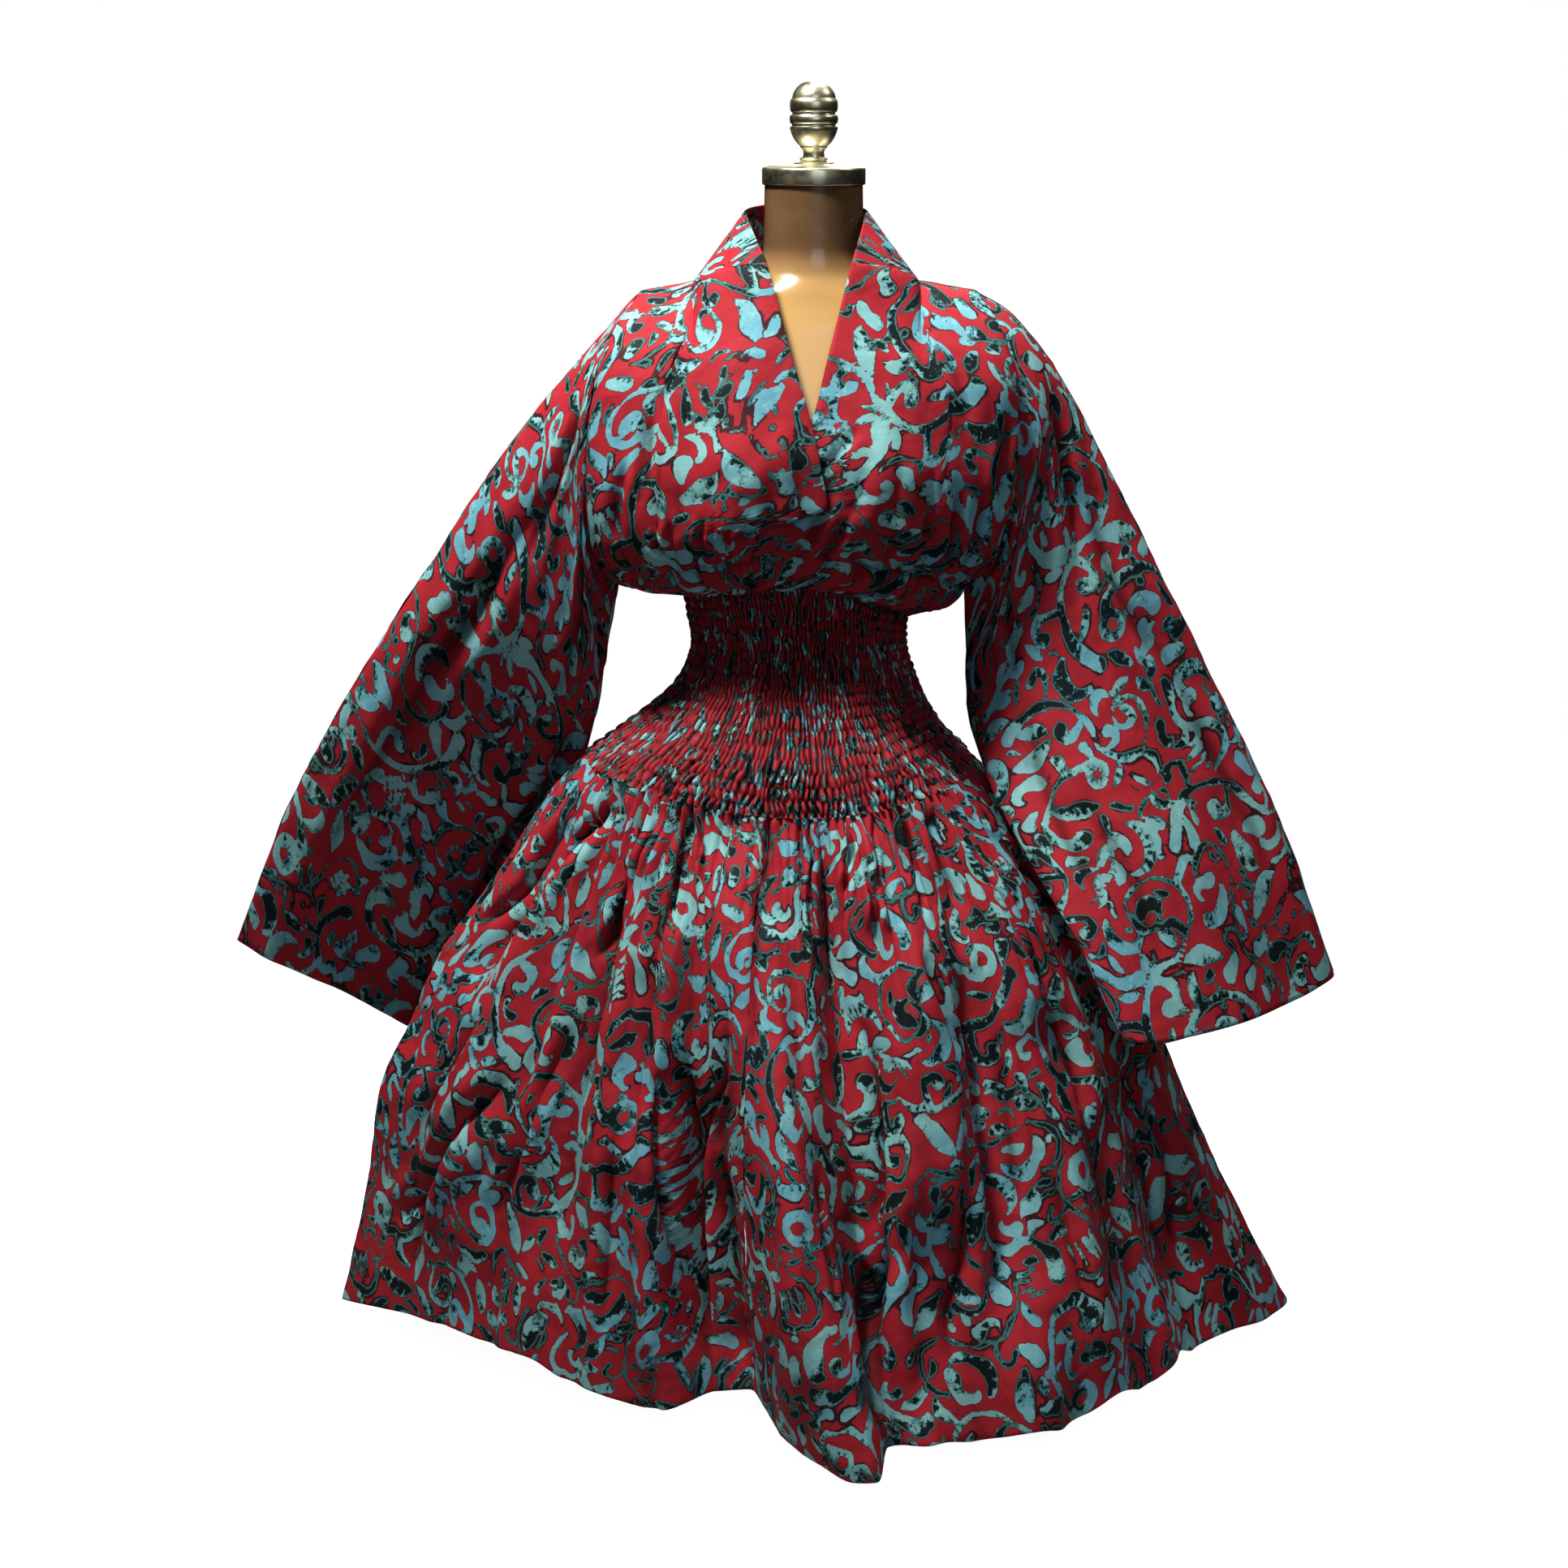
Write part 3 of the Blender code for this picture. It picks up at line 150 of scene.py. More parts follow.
BACK_FOLDS = (
    Fold(90, 0.568, 0.026, 0, 1.0),
    Fold(98, 0.506, 0.034, 0, 1.0),
    Fold(106, 0.446, 0.030, 0, 0.9),
    Fold(115, 0.482, 0.042, 2, 1.0),
    Fold(125, 0.430, 0.028, 4, 0.8),
    Fold(135, 0.476, 0.038, 5, 1.0),
    Fold(146, 0.404, 0.026, 5, 0.8),
    Fold(156, 0.468, 0.038, 5, 1.1),
    Fold(168, 0.386, 0.024, 4, 0.9),
    Fold(179, 0.472, 0.036, 2, 1.1),
    Fold(191, 0.390, 0.024, 0, 0.8),
    Fold(201, 0.454, 0.037, -3, 1.0),
    Fold(213, 0.392, 0.026, -5, 0.9),
    Fold(223, 0.448, 0.039, -5, 1.1),
    Fold(234, 0.400, 0.030, -4, 0.8),
    Fold(244, 0.442, 0.044, -3, 1.0),
    Fold(254, 0.422, 0.034, 0, 0.9),
    Fold(263, 0.504, 0.036, 0, 1.0),
    Fold(270, 0.563, 0.030, 0, 1.0),
)

# Bodice sections by their share of the way from underarm to shoulder
Bodice = namedtuple("Bodice", "share half middle front front_side bust back back_side")

BODICE_SECTIONS = (
    Bodice(0.00, 0.196, -0.0240, 0.130, 0.000, 0.006, 0.116, 0.000),
    Bodice(0.04, 0.212, -0.0225, 0.133, 0.026, 0.010, 0.119, 0.026),
    Bodice(0.14, 0.228, -0.0200, 0.138, 0.048, 0.018, 0.123, 0.048),
    Bodice(0.30, 0.237, -0.0160, 0.138, 0.060, 0.020, 0.124, 0.060),
    Bodice(0.50, 0.240, -0.0120, 0.126, 0.064, 0.014, 0.122, 0.064),
    Bodice(0.70, 0.234, -0.0090, 0.112, 0.062, 0.005, 0.116, 0.064),
    Bodice(0.87, 0.216, -0.0070, 0.098, 0.054, 0.000, 0.106, 0.058),
    Bodice(1.00, 0.189, -0.0050, 0.086, 0.044, 0.000, 0.096, 0.048),
)
UNDERARM_HEIGHT = 0.902
CHEST_RISE = 0.046
SHOULDER_TIP_HEIGHT = 1.227
SHOULDER_ROUND = 0.11
BUST_CENTRE, BUST_WIDTH = 0.085, 0.050
CHEST_SQUARE = 0.85
SIDE_SEAM_BOW = 1.6
WAIST_BLEND_END = -0.6
NECK_SHARE = 0.66
NECK_COLUMN_TURNS = 0.6
NECK_CORNER_FROM = 0.75
LAP_LIFT = 0.0046
LAP_STARTS, LAP_FULL = 0.050, 0.012

# Neckline and collar
NECKLINE_MIDDLE, NECKLINE_HALF = -0.008, 0.1245
NECKLINE_FRONT, NECKLINE_BACK = 0.085, 0.078
NECK_POINT_HEIGHT = 1.238
COLLAR_FRONT_HEIGHT, COLLAR_BACK_HEIGHT = 1.262, 1.252
COLLAR_TOP_MIDDLE, COLLAR_TOP_HALF = -0.0085, 0.069
COLLAR_TOP_FRONT, COLLAR_TOP_BACK = 0.062, 0.078
COLLAR_TOP_HEIGHT, COLLAR_TOP_BACK_HEIGHT = 1.314, 1.322
COLLAR_WIDEST_START = math.radians(84)
COLLAR_FULL_AT = 0.93
COLLAR_TOP_OVER, COLLAR_TOP_UNDER = -0.0755, 0.0575

# Front edges of the wrap, by height
Edge = namedtuple("Edge", "z over under")

WRAP_EDGES = (
    Edge(0.880, -0.068, -0.110),
    Edge(0.972, -0.062, -0.104),
    Edge(1.003, 0.014, -0.084),
    Edge(1.050, 0.006, -0.034),
    Edge(1.100, -0.006, -0.001),
    Edge(1.154, -0.022, 0.013),
    Edge(1.262, -0.052, 0.041),
)
WRAP_FOOT_LOW, WRAP_FOOT_RISE = 0.90, 0.03

# Sleeves, from armhole to cuff
Station = namedtuple("Station", "share top_x top_y top_z low_x low_y low_z half sag")

LEFT_SLEEVE = (
    Station(0.00, -0.194, 0.000, 1.227, -0.220, 0.000, 0.902, 0.062, 0.000),
    Station(0.17, -0.266, 0.000, 1.149, -0.233, 0.004, 0.838, 0.057, 0.000),
    Station(0.34, -0.348, 0.000, 1.047, -0.245, 0.022, 0.770, 0.051, 0.000),
    Station(0.50, -0.429, 0.000, 0.930, -0.264, 0.068, 0.694, 0.045, 0.000),
    Station(0.67, -0.512, 0.000, 0.802, -0.299, 0.140, 0.590, 0.038, 0.000),
    Station(0.84, -0.600, 0.004, 0.652, -0.345, 0.222, 0.440, 0.033, -0.001),
    Station(1.00, -0.674, 0.010, 0.473, -0.405, 0.306, 0.236, 0.028, -0.004),
)

RIGHT_SLEEVE = (
    Station(0.00, 0.184, 0.000, 1.227, 0.172, 0.000, 0.902, 0.062, 0.000),
    Station(0.07, 0.224, 0.000, 1.200, 0.173, -0.001, 0.876, 0.060, 0.000),
    Station(0.17, 0.268, 0.000, 1.149, 0.175, -0.004, 0.836, 0.057, 0.000),
    Station(0.34, 0.337, 0.000, 1.022, 0.176, -0.022, 0.766, 0.051, 0.000),
    Station(0.50, 0.401, 0.000, 0.900, 0.192, -0.070, 0.700, 0.045, 0.000),
    Station(0.67, 0.468, 0.000, 0.766, 0.232, -0.140, 0.622, 0.038, 0.005),
    Station(0.84, 0.537, -0.010, 0.628, 0.287, -0.200, 0.536, 0.034, 0.014),
    Station(1.00, 0.601, -0.024, 0.453, 0.340, -0.250, 0.432, 0.031, 0.026),
)
SLEEVE_LOOSE_FROM = 0.32

Drape = namedtuple("Drape", "across width depth begin")

SLEEVE_DRAPES = (
    Drape(0.22, 0.07, -0.006, 0.30),
    Drape(0.42, 0.08, 0.008, 0.20),
    Drape(0.62, 0.08, -0.008, 0.35),
    Drape(0.82, 0.06, 0.007, 0.25),
)

# The form's torso
FORM_RINGS = (
    Ring(0.540, -0.008, 0.142, 0.142, 0.098, 0.106),
    Ring(0.548, -0.008, 0.152, 0.152, 0.106, 0.114),
    Ring(0.595, -0.009, 0.164, 0.164, 0.117, 0.125),
    Ring(0.650, -0.010, 0.168, 0.168, 0.120, 0.129),
    Ring(0.710, -0.012, 0.156, 0.156, 0.114, 0.121),
    Ring(0.755, -0.013, 0.138, 0.137, 0.106, 0.108),
    Ring(0.833, -0.015, 0.118, 0.116, 0.096, 0.092),
    Ring(0.905, -0.017, 0.121, 0.119, 0.100, 0.091),
    Ring(0.955, -0.014, 0.136, 0.134, 0.114, 0.094),
    Ring(1.005, -0.012, 0.149, 0.147, 0.128, 0.100),
    Ring(1.055, -0.010, 0.158, 0.156, 0.122, 0.104),
    Ring(1.110, -0.009, 0.165, 0.162, 0.108, 0.106),
    Ring(1.160, -0.008, 0.168, 0.164, 0.094, 0.100),
    Ring(1.195, -0.008, 0.164, 0.158, 0.084, 0.088),
    Ring(1.216, -0.007, 0.150, 0.142, 0.077, 0.076),
    Ring(1.228, -0.006, 0.124, 0.116, 0.073, 0.069),
    Ring(1.236, -0.004, 0.096, 0.090, 0.069, 0.065),
    Ring(1.250, -0.001, 0.068, 0.066, 0.061, 0.061),
    Ring(1.275, 0.000, 0.0560, 0.0560, 0.0555, 0.0565),
    Ring(NECK_TOP, 0.000, NECK_RADIUS, NECK_RADIUS, NECK_RADIUS, NECK_RADIUS),
)

# Broad rolls and hollows of the skirt: from this angle and share of the way
# down to that one, with their half-width in degrees, height in metres, and bow in degrees
Roll = namedtuple("Roll", "angle share to_angle to_share width height bow")

ROLLS = (
    Roll(-68, 0.03, -82, 0.42, 3.4, -0.032, 0),
    Roll(-77, 0.06, -88, 0.34, 3.0, 0.008, 0),
    Roll(-64, 0.06, -71, 0.40, 2.8, 0.014, 0),
    Roll(-53, 0.05, -56, 0.90, 3.6, -0.030, 1),
    Roll(-46, 0.02, -40, 0.32, 4.0, 0.012, 0),
    Roll(-23, 0.02, -26, 0.56, 8.0, 0.023, 1),
    Roll(-10, 0.28, 1, 0.98, 6.5, 0.020, 1),
    Roll(6, 0.00, 12, 1.00, 3.6, -0.038, -3),
    Roll(28, 0.07, 22, 0.72, 6.0, 0.019, -3),
    Roll(37, 0.20, 28, 0.92, 4.4, -0.032, 2),
    Roll(60, 0.08, 47, 0.42, 7.0, 0.015, 0),
    Roll(57, 0.40, 43, 1.02, 8.0, 0.017, -2),
    Roll(-32, 0.36, -23, 1.00, 1.7, -0.034, 0),
    Roll(-41, 0.44, -29, 1.02, 4.6, 0.016, 2),
    Roll(-70, 0.32, -72, 0.96, 6.5, 0.016, 1),
    Roll(-21, 0.56, -15, 1.04, 3.6, -0.022, 0),
    Roll(77, 0.44, 74, 0.94, 2.6, -0.020, 0),
    Roll(36, 0.72, 34, 1.06, 5.0, 0.011, 0),
    Roll(18, 0.60, 16, 1.02, 3.0, -0.020, 0),
    Roll(-15, 0.00, -9, 0.19, 3.4, -0.012, 0),
    Roll(-39, 0.00, -34, 0.22, 3.6, -0.012, 0),
    Roll(18, 0.00, 16, 0.20, 4.2, 0.012, 0),
    Roll(45, 0.01, 38, 0.26, 3.4, -0.014, 0),
    Roll(100, 0.05, 106, 0.66, 6.0, -0.018, 2),
    Roll(117, 0.02, 112, 0.52, 6.5, 0.018, 0),
    Roll(130, 0.10, 136, 0.96, 5.6, -0.022, -2),
    Roll(146, 0.04, 150, 0.60, 6.0, 0.019, 2),
    Roll(161, 0.24, 157, 1.02, 5.4, -0.019, 2),
    Roll(174, 0.02, 180, 0.74, 6.4, 0.020, -2),
    Roll(193, 0.06, 190, 0.90, 5.2, -0.024, 2),
    Roll(208, 0.03, 204, 0.56, 6.2, 0.017, 0),
    Roll(222, 0.14, 227, 0.98, 5.6, -0.021, -2),
    Roll(238, 0.04, 243, 0.64, 6.4, 0.018, 2),
    Roll(254, 0.22, 251, 0.92, 5.0, -0.016, 0),
    Roll(166, 0.52, 171, 1.02, 5.0, 0.013, 0),
    Roll(122, 0.50, 119, 1.02, 5.4, 0.014, 0),
    Roll(212, 0.48, 216, 1.02, 5.6, 0.014, 0),
    Roll(262, 0.08, 264, 0.50, 4.6, 0.011, 0),
)

# How each piece lies on the printed cloth: turned by degrees, and its place in metres
Lay = namedtuple("Lay", "turn across along")

# Panels of the skirt: where they begin and end in degrees from the front, how fine their
# grids are, and how they lie on the printed cloth
Panel = namedtuple("Panel", "first last spacing lay")

SKIRT_PANELS = {
    "skirt_front_left": Panel(-90.0, -13.333, FRONT_SPACING, Lay(0, 0.10, 0.05)),
    "skirt_front_right": Panel(-13.333, 90.0, FRONT_SPACING, Lay(0, 0.62, 0.21)),
    "skirt_back_right": Panel(90.0, 180.0, BACK_SPACING, Lay(0, 0.27, 0.33)),
    "skirt_back_left": Panel(180.0, 270.0, BACK_SPACING, Lay(0, 0.51, 0.12)),
}

# Pattern pieces as cut, in metres and square metres, without their seam allowances
Cut = namedtuple("Cut", "across along area")

# Creases on the cloth, from one point to another in its own metres, with
# their width and depth, how far they bow aside, and how far the cloth beside them hangs
# over them, in widths.
Crease = namedtuple("Crease", "across along to_across to_along width depth bow lean", defaults=(0.0,))

CREASES = {
    "skirt_front_left": (
        Crease(-0.127, 0.024, -0.244, 0.249, 0.0120, 0.0220, 0.006, 0.9),
        Crease(0.016, 0.026, -0.039, 0.210, 0.0090, 0.0160, -0.006, 0.7),
        Crease(0.062, 0.003, 0.015, 0.140, 0.0051, 0.0085, 0.004),
        Crease(0.136, 0.012, 0.120, 0.144, 0.0051, 0.0085, -0.003),
        Crease(0.179, 0.017, 0.191, 0.162, 0.0051, 0.0085, 0.003),
        Crease(-0.198, 0.051, -0.329, 0.245, 0.0090, 0.0140, -0.004, 0.7),
        Crease(-0.114, 0.341, -0.308, 0.648, 0.0130, 0.0170, -0.010, 0.7),
        Crease(-0.185, 0.307, -0.291, 0.524, 0.0102, 0.0085, 0.008),
        Crease(0.127, 0.286, 0.207, 0.553, 0.0120, 0.0240, 0.006, 1.0),
        Crease(0.024, 0.186, 0.003, 0.468, 0.0110, 0.0140, -0.010, -0.5),
        Crease(-0.030, 0.257, -0.118, 0.565, 0.0093, 0.0085, 0.008),
        Crease(0.241, 0.206, 0.241, 0.471, 0.0076, 0.0085, 0.004),
        Crease(0.080, 0.357, 0.083, 0.633, 0.0085, 0.0102, 0.006),
        Crease(-0.190, 0.457, -0.265, 0.690, 0.0102, 0.0085, 0.005),
    ),
    "skirt_front_right": (
        Crease(-0.264, 0.013, -0.282, 0.177, 0.0051, 0.0085, 0.003),
        Crease(-0.180, 0.011, -0.207, 0.150, 0.0051, 0.0085, -0.003),
        Crease(-0.101, 0.000, -0.159, 0.178, 0.0059, 0.0102, 0.004),
        Crease(-0.036, 0.003, -0.053, 0.136, 0.0070, 0.0130, -0.004, -0.5),
        Crease(0.044, 0.008, 0.030, 0.137, 0.0059, 0.0085, 0.004),
        Crease(0.247, 0.040, 0.278, 0.170, 0.0090, 0.0170, -0.004, 0.8),
        Crease(0.111, 0.012, 0.125, 0.168, 0.0059, 0.0085, 0.003),
        Crease(-0.197, 0.203, -0.233, 0.490, 0.0200, 0.0230, -0.008, -0.8),
        Crease(-0.217, 0.438, -0.247, 0.669, 0.0180, 0.0190, 0.004, -0.8),
        Crease(-0.083, 0.162, -0.071, 0.362, 0.0110, 0.0150, -0.008, -0.6),
        Crease(-0.079, 0.352, -0.142, 0.648, 0.0150, 0.0150, 0.008, -0.5),
        Crease(0.125, 0.196, 0.135, 0.438, 0.0120, 0.0170, -0.008, -0.6),
        Crease(0.338, 0.502, 0.311, 0.632, 0.0090, 0.0140, 0.004, 0.7),
        Crease(0.048, 0.418, 0.045, 0.627, 0.0102, 0.0085, 0.006),
        Crease(0.294, 0.417, 0.372, 0.664, 0.0102, 0.0085, -0.008),
        Crease(0.030, 0.260, -0.007, 0.493, 0.0085, 0.0085, 0.005),
        Crease(-0.320, 0.378, -0.344, 0.559, 0.0076, 0.0085, -0.004),
    ),
    "bodice_front_over": (
        Crease(-0.015, 0.181, -0.029, 0.304, 0.0063, 0.0072, -0.004),
        Crease(0.016, 0.294, 0.008, 0.366, 0.0045, 0.0058, 0.002),
        Crease(0.056, 0.272, 0.037, 0.379, 0.0045, 0.0058, -0.002),
        Crease(0.092, 0.293, 0.061, 0.401, 0.0045, 0.0058, 0.002),
        Crease(-0.040, 0.230, -0.058, 0.334, 0.0072, 0.0072, 0.004),
        Crease(0.014, 0.103, 0.001, 0.196, 0.0090, 0.0043, 0.004),
        Crease(0.120, 0.346, 0.080, 0.419, 0.0045, 0.0051, -0.002),
        Crease(-0.015, 0.325, 0.007, 0.358, 0.0054, 0.0058, 0.003),
    ),
    "bodice_front_under": (
        Crease(0.077, 0.165, 0.078, 0.293, 0.0063, 0.0072, 0.005),
        Crease(-0.049, 0.296, -0.020, 0.397, 0.0045, 0.0058, 0.002),
        Crease(-0.016, 0.281, 0.018, 0.409, 0.0054, 0.0072, -0.003),
        Crease(0.020, 0.268, 0.055, 0.399, 0.0054, 0.0072, 0.003),
        Crease(-0.080, 0.311, -0.051, 0.391, 0.0045, 0.0051, 0.002),
        Crease(0.056, 0.260, 0.068, 0.360, 0.0063, 0.0072, 0.003),
        Crease(-0.099, 0.183, -0.143, 0.254, 0.0054, 0.0043, 0.003),
        Crease(0.010, 0.119, 0.023, 0.218, 0.0090, 0.0043, -0.004),
        Crease(-0.107, 0.325, -0.086, 0.381, 0.0045, 0.0051, 0.002),
    ),
    "sleeve_left_front": (
        Crease(0.319, 0.128, 0.054, 0.133, 0.0126, 0.0101, 0.014),
        Crease(0.217, 0.095, -0.128, 0.059, 0.0144, 0.0087, -0.014),
        Crease(0.266, 0.266, -0.007, 0.245, 0.0090, 0.0087, 0.008),
        Crease(0.090, 0.104, -0.292, 0.076, 0.0144, 0.0072, 0.012),
        Crease(0.066, 0.279, -0.289, 0.285, 0.0126, 0.0087, -0.010),
        Crease(-0.092, 0.099, -0.400, 0.073, 0.0126, 0.0058, 0.008),
        Crease(0.274, 0.240, 0.221, 0.356, 0.0072, 0.0072, 0.004),
        Crease(-0.062, 0.295, -0.419, 0.307, 0.0108, 0.0072, 0.008),
    ),
    "sleeve_right_front": (
        Crease(-0.278, 0.061, -0.041, 0.128, 0.0126, 0.0101, -0.014),
        Crease(-0.184, 0.045, 0.109, 0.074, 0.0144, 0.0087, 0.014),
        Crease(-0.242, 0.263, -0.020, 0.232, 0.0090, 0.0087, -0.008),
        Crease(-0.034, 0.066, 0.293, 0.083, 0.0144, 0.0072, -0.012),
        Crease(-0.023, 0.236, 0.235, 0.299, 0.0126, 0.0087, 0.010),
        Crease(0.129, 0.074, 0.379, 0.080, 0.0126, 0.0058, -0.008),
        Crease(-0.249, 0.242, -0.209, 0.368, 0.0072, 0.0072, -0.004),
        Crease(0.099, 0.248, 0.332, 0.279, 0.0108, 0.0072, -0.008),
    ),
    "skirt_back_right": (
        Crease(-0.430, 0.010, -0.470, 0.190, 0.0068, 0.0119, 0.006),
        Crease(-0.340, 0.015, -0.352, 0.150, 0.0059, 0.0102, -0.004),
        Crease(-0.250, 0.006, -0.262, 0.210, 0.0068, 0.0136, 0.005),
        Crease(-0.160, 0.012, -0.150, 0.140, 0.0051, 0.0085, -0.003),
        Crease(-0.070, 0.004, -0.080, 0.180, 0.0059, 0.0102, 0.004),
        Crease(0.030, 0.010, 0.050, 0.150, 0.0059, 0.0102, -0.004),
        Crease(0.130, 0.008, 0.118, 0.200, 0.0068, 0.0119, 0.005),
        Crease(0.240, 0.014, 0.252, 0.130, 0.0051, 0.0085, -0.003),
        Crease(-0.380, 0.260, -0.440, 0.560, 0.0102, 0.0119, 0.010),
        Crease(-0.240, 0.300, -0.220, 0.640, 0.0093, 0.0102, -0.008),
        Crease(-0.110, 0.220, -0.140, 0.500, 0.0085, 0.0119, 0.006),
        Crease(0.020, 0.330, 0.000, 0.670, 0.0102, 0.0102, -0.009),
        Crease(0.150, 0.240, 0.190, 0.520, 0.0085, 0.0119, 0.007),
        Crease(0.300, 0.280, 0.330, 0.600, 0.0102, 0.0102, -0.008),
    ),
    "skirt_back_left": (
        Crease(-0.260, 0.010, -0.280, 0.170, 0.0059, 0.0102, 0.004),
        Crease(-0.150, 0.006, -0.140, 0.200, 0.0068, 0.0119, -0.006),
        Crease(-0.050, 0.014, -0.062, 0.140, 0.0051, 0.0085, 0.003),
        Crease(0.050, 0.008, 0.060, 0.190, 0.0068, 0.0119, -0.005),
        Crease(0.150, 0.012, 0.142, 0.150, 0.0059, 0.0102, 0.004),
        Crease(0.250, 0.006, 0.275, 0.210, 0.0068, 0.0136, -0.006),
        Crease(0.350, 0.012, 0.372, 0.140, 0.0051, 0.0085, 0.003),
        Crease(-0.330, 0.310, -0.360, 0.620, 0.0102, 0.0102, 0.010),
        Crease(-0.180, 0.240, -0.200, 0.520, 0.0085, 0.0119, -0.007),
        Crease(-0.020, 0.300, 0.010, 0.640, 0.0102, 0.0119, 0.009),
        Crease(0.120, 0.230, 0.100, 0.480, 0.0085, 0.0102, -0.006),
        Crease(0.260, 0.320, 0.300, 0.650, 0.0102, 0.0119, 0.009),
        Crease(0.360, 0.240, 0.400, 0.520, 0.0085, 0.0102, -0.007),
    ),
    "bodice_back": (
        Crease(-0.190, 0.180, -0.180, 0.320, 0.0063, 0.0072, 0.005),
        Crease(-0.120, 0.300, -0.090, 0.420, 0.0054, 0.0058, -0.003),
        Crease(-0.060, 0.280, -0.050, 0.410, 0.0045, 0.0058, 0.002),
        Crease(0.000, 0.310, 0.004, 0.425, 0.0045, 0.0051, -0.002),
        Crease(0.060, 0.270, 0.052, 0.415, 0.0054, 0.0058, 0.003),
        Crease(0.130, 0.300, 0.100, 0.420, 0.0054, 0.0065, 0.003),
        Crease(0.200, 0.190, 0.186, 0.330, 0.0063, 0.0072, -0.005),
        Crease(-0.100, 0.120, 0.030, 0.160, 0.0090, 0.0043, 0.008),
    ),
    "sleeve_left_back": (
        Crease(-0.300, 0.120, -0.060, 0.150, 0.0126, 0.0101, -0.014),
        Crease(-0.220, 0.230, 0.060, 0.260, 0.0099, 0.0087, 0.010),
        Crease(-0.080, 0.090, 0.240, 0.080, 0.0144, 0.0087, -0.012),
        Crease(0.040, 0.200, 0.330, 0.210, 0.0126, 0.0072, 0.012),
        Crease(-0.150, 0.320, 0.040, 0.360, 0.0090, 0.0072, 0.008),
    ),
    "sleeve_right_back": (
        Crease(0.290, 0.100, 0.040, 0.140, 0.0126, 0.0101, 0.014),
        Crease(0.230, 0.240, -0.030, 0.230, 0.0099, 0.0087, -0.010),
        Crease(0.070, 0.080, -0.260, 0.090, 0.0144, 0.0087, 0.012),
        Crease(-0.040, 0.190, -0.310, 0.240, 0.0126, 0.0072, -0.010),
    ),
}

# Motifs of the print as brush strokes, in millimetres: where each begins, its heading
# in degrees, how many degrees it turns in its first and in its second half, and the
# stroke's half-width at its start, middle and end. A stroke with a share begins that far
# along the motif's first stroke, and its heading is counted from the first one's there.
Stroke = namedtuple("Stroke", "x y heading length bend curl start middle end share", defaults=(None,))

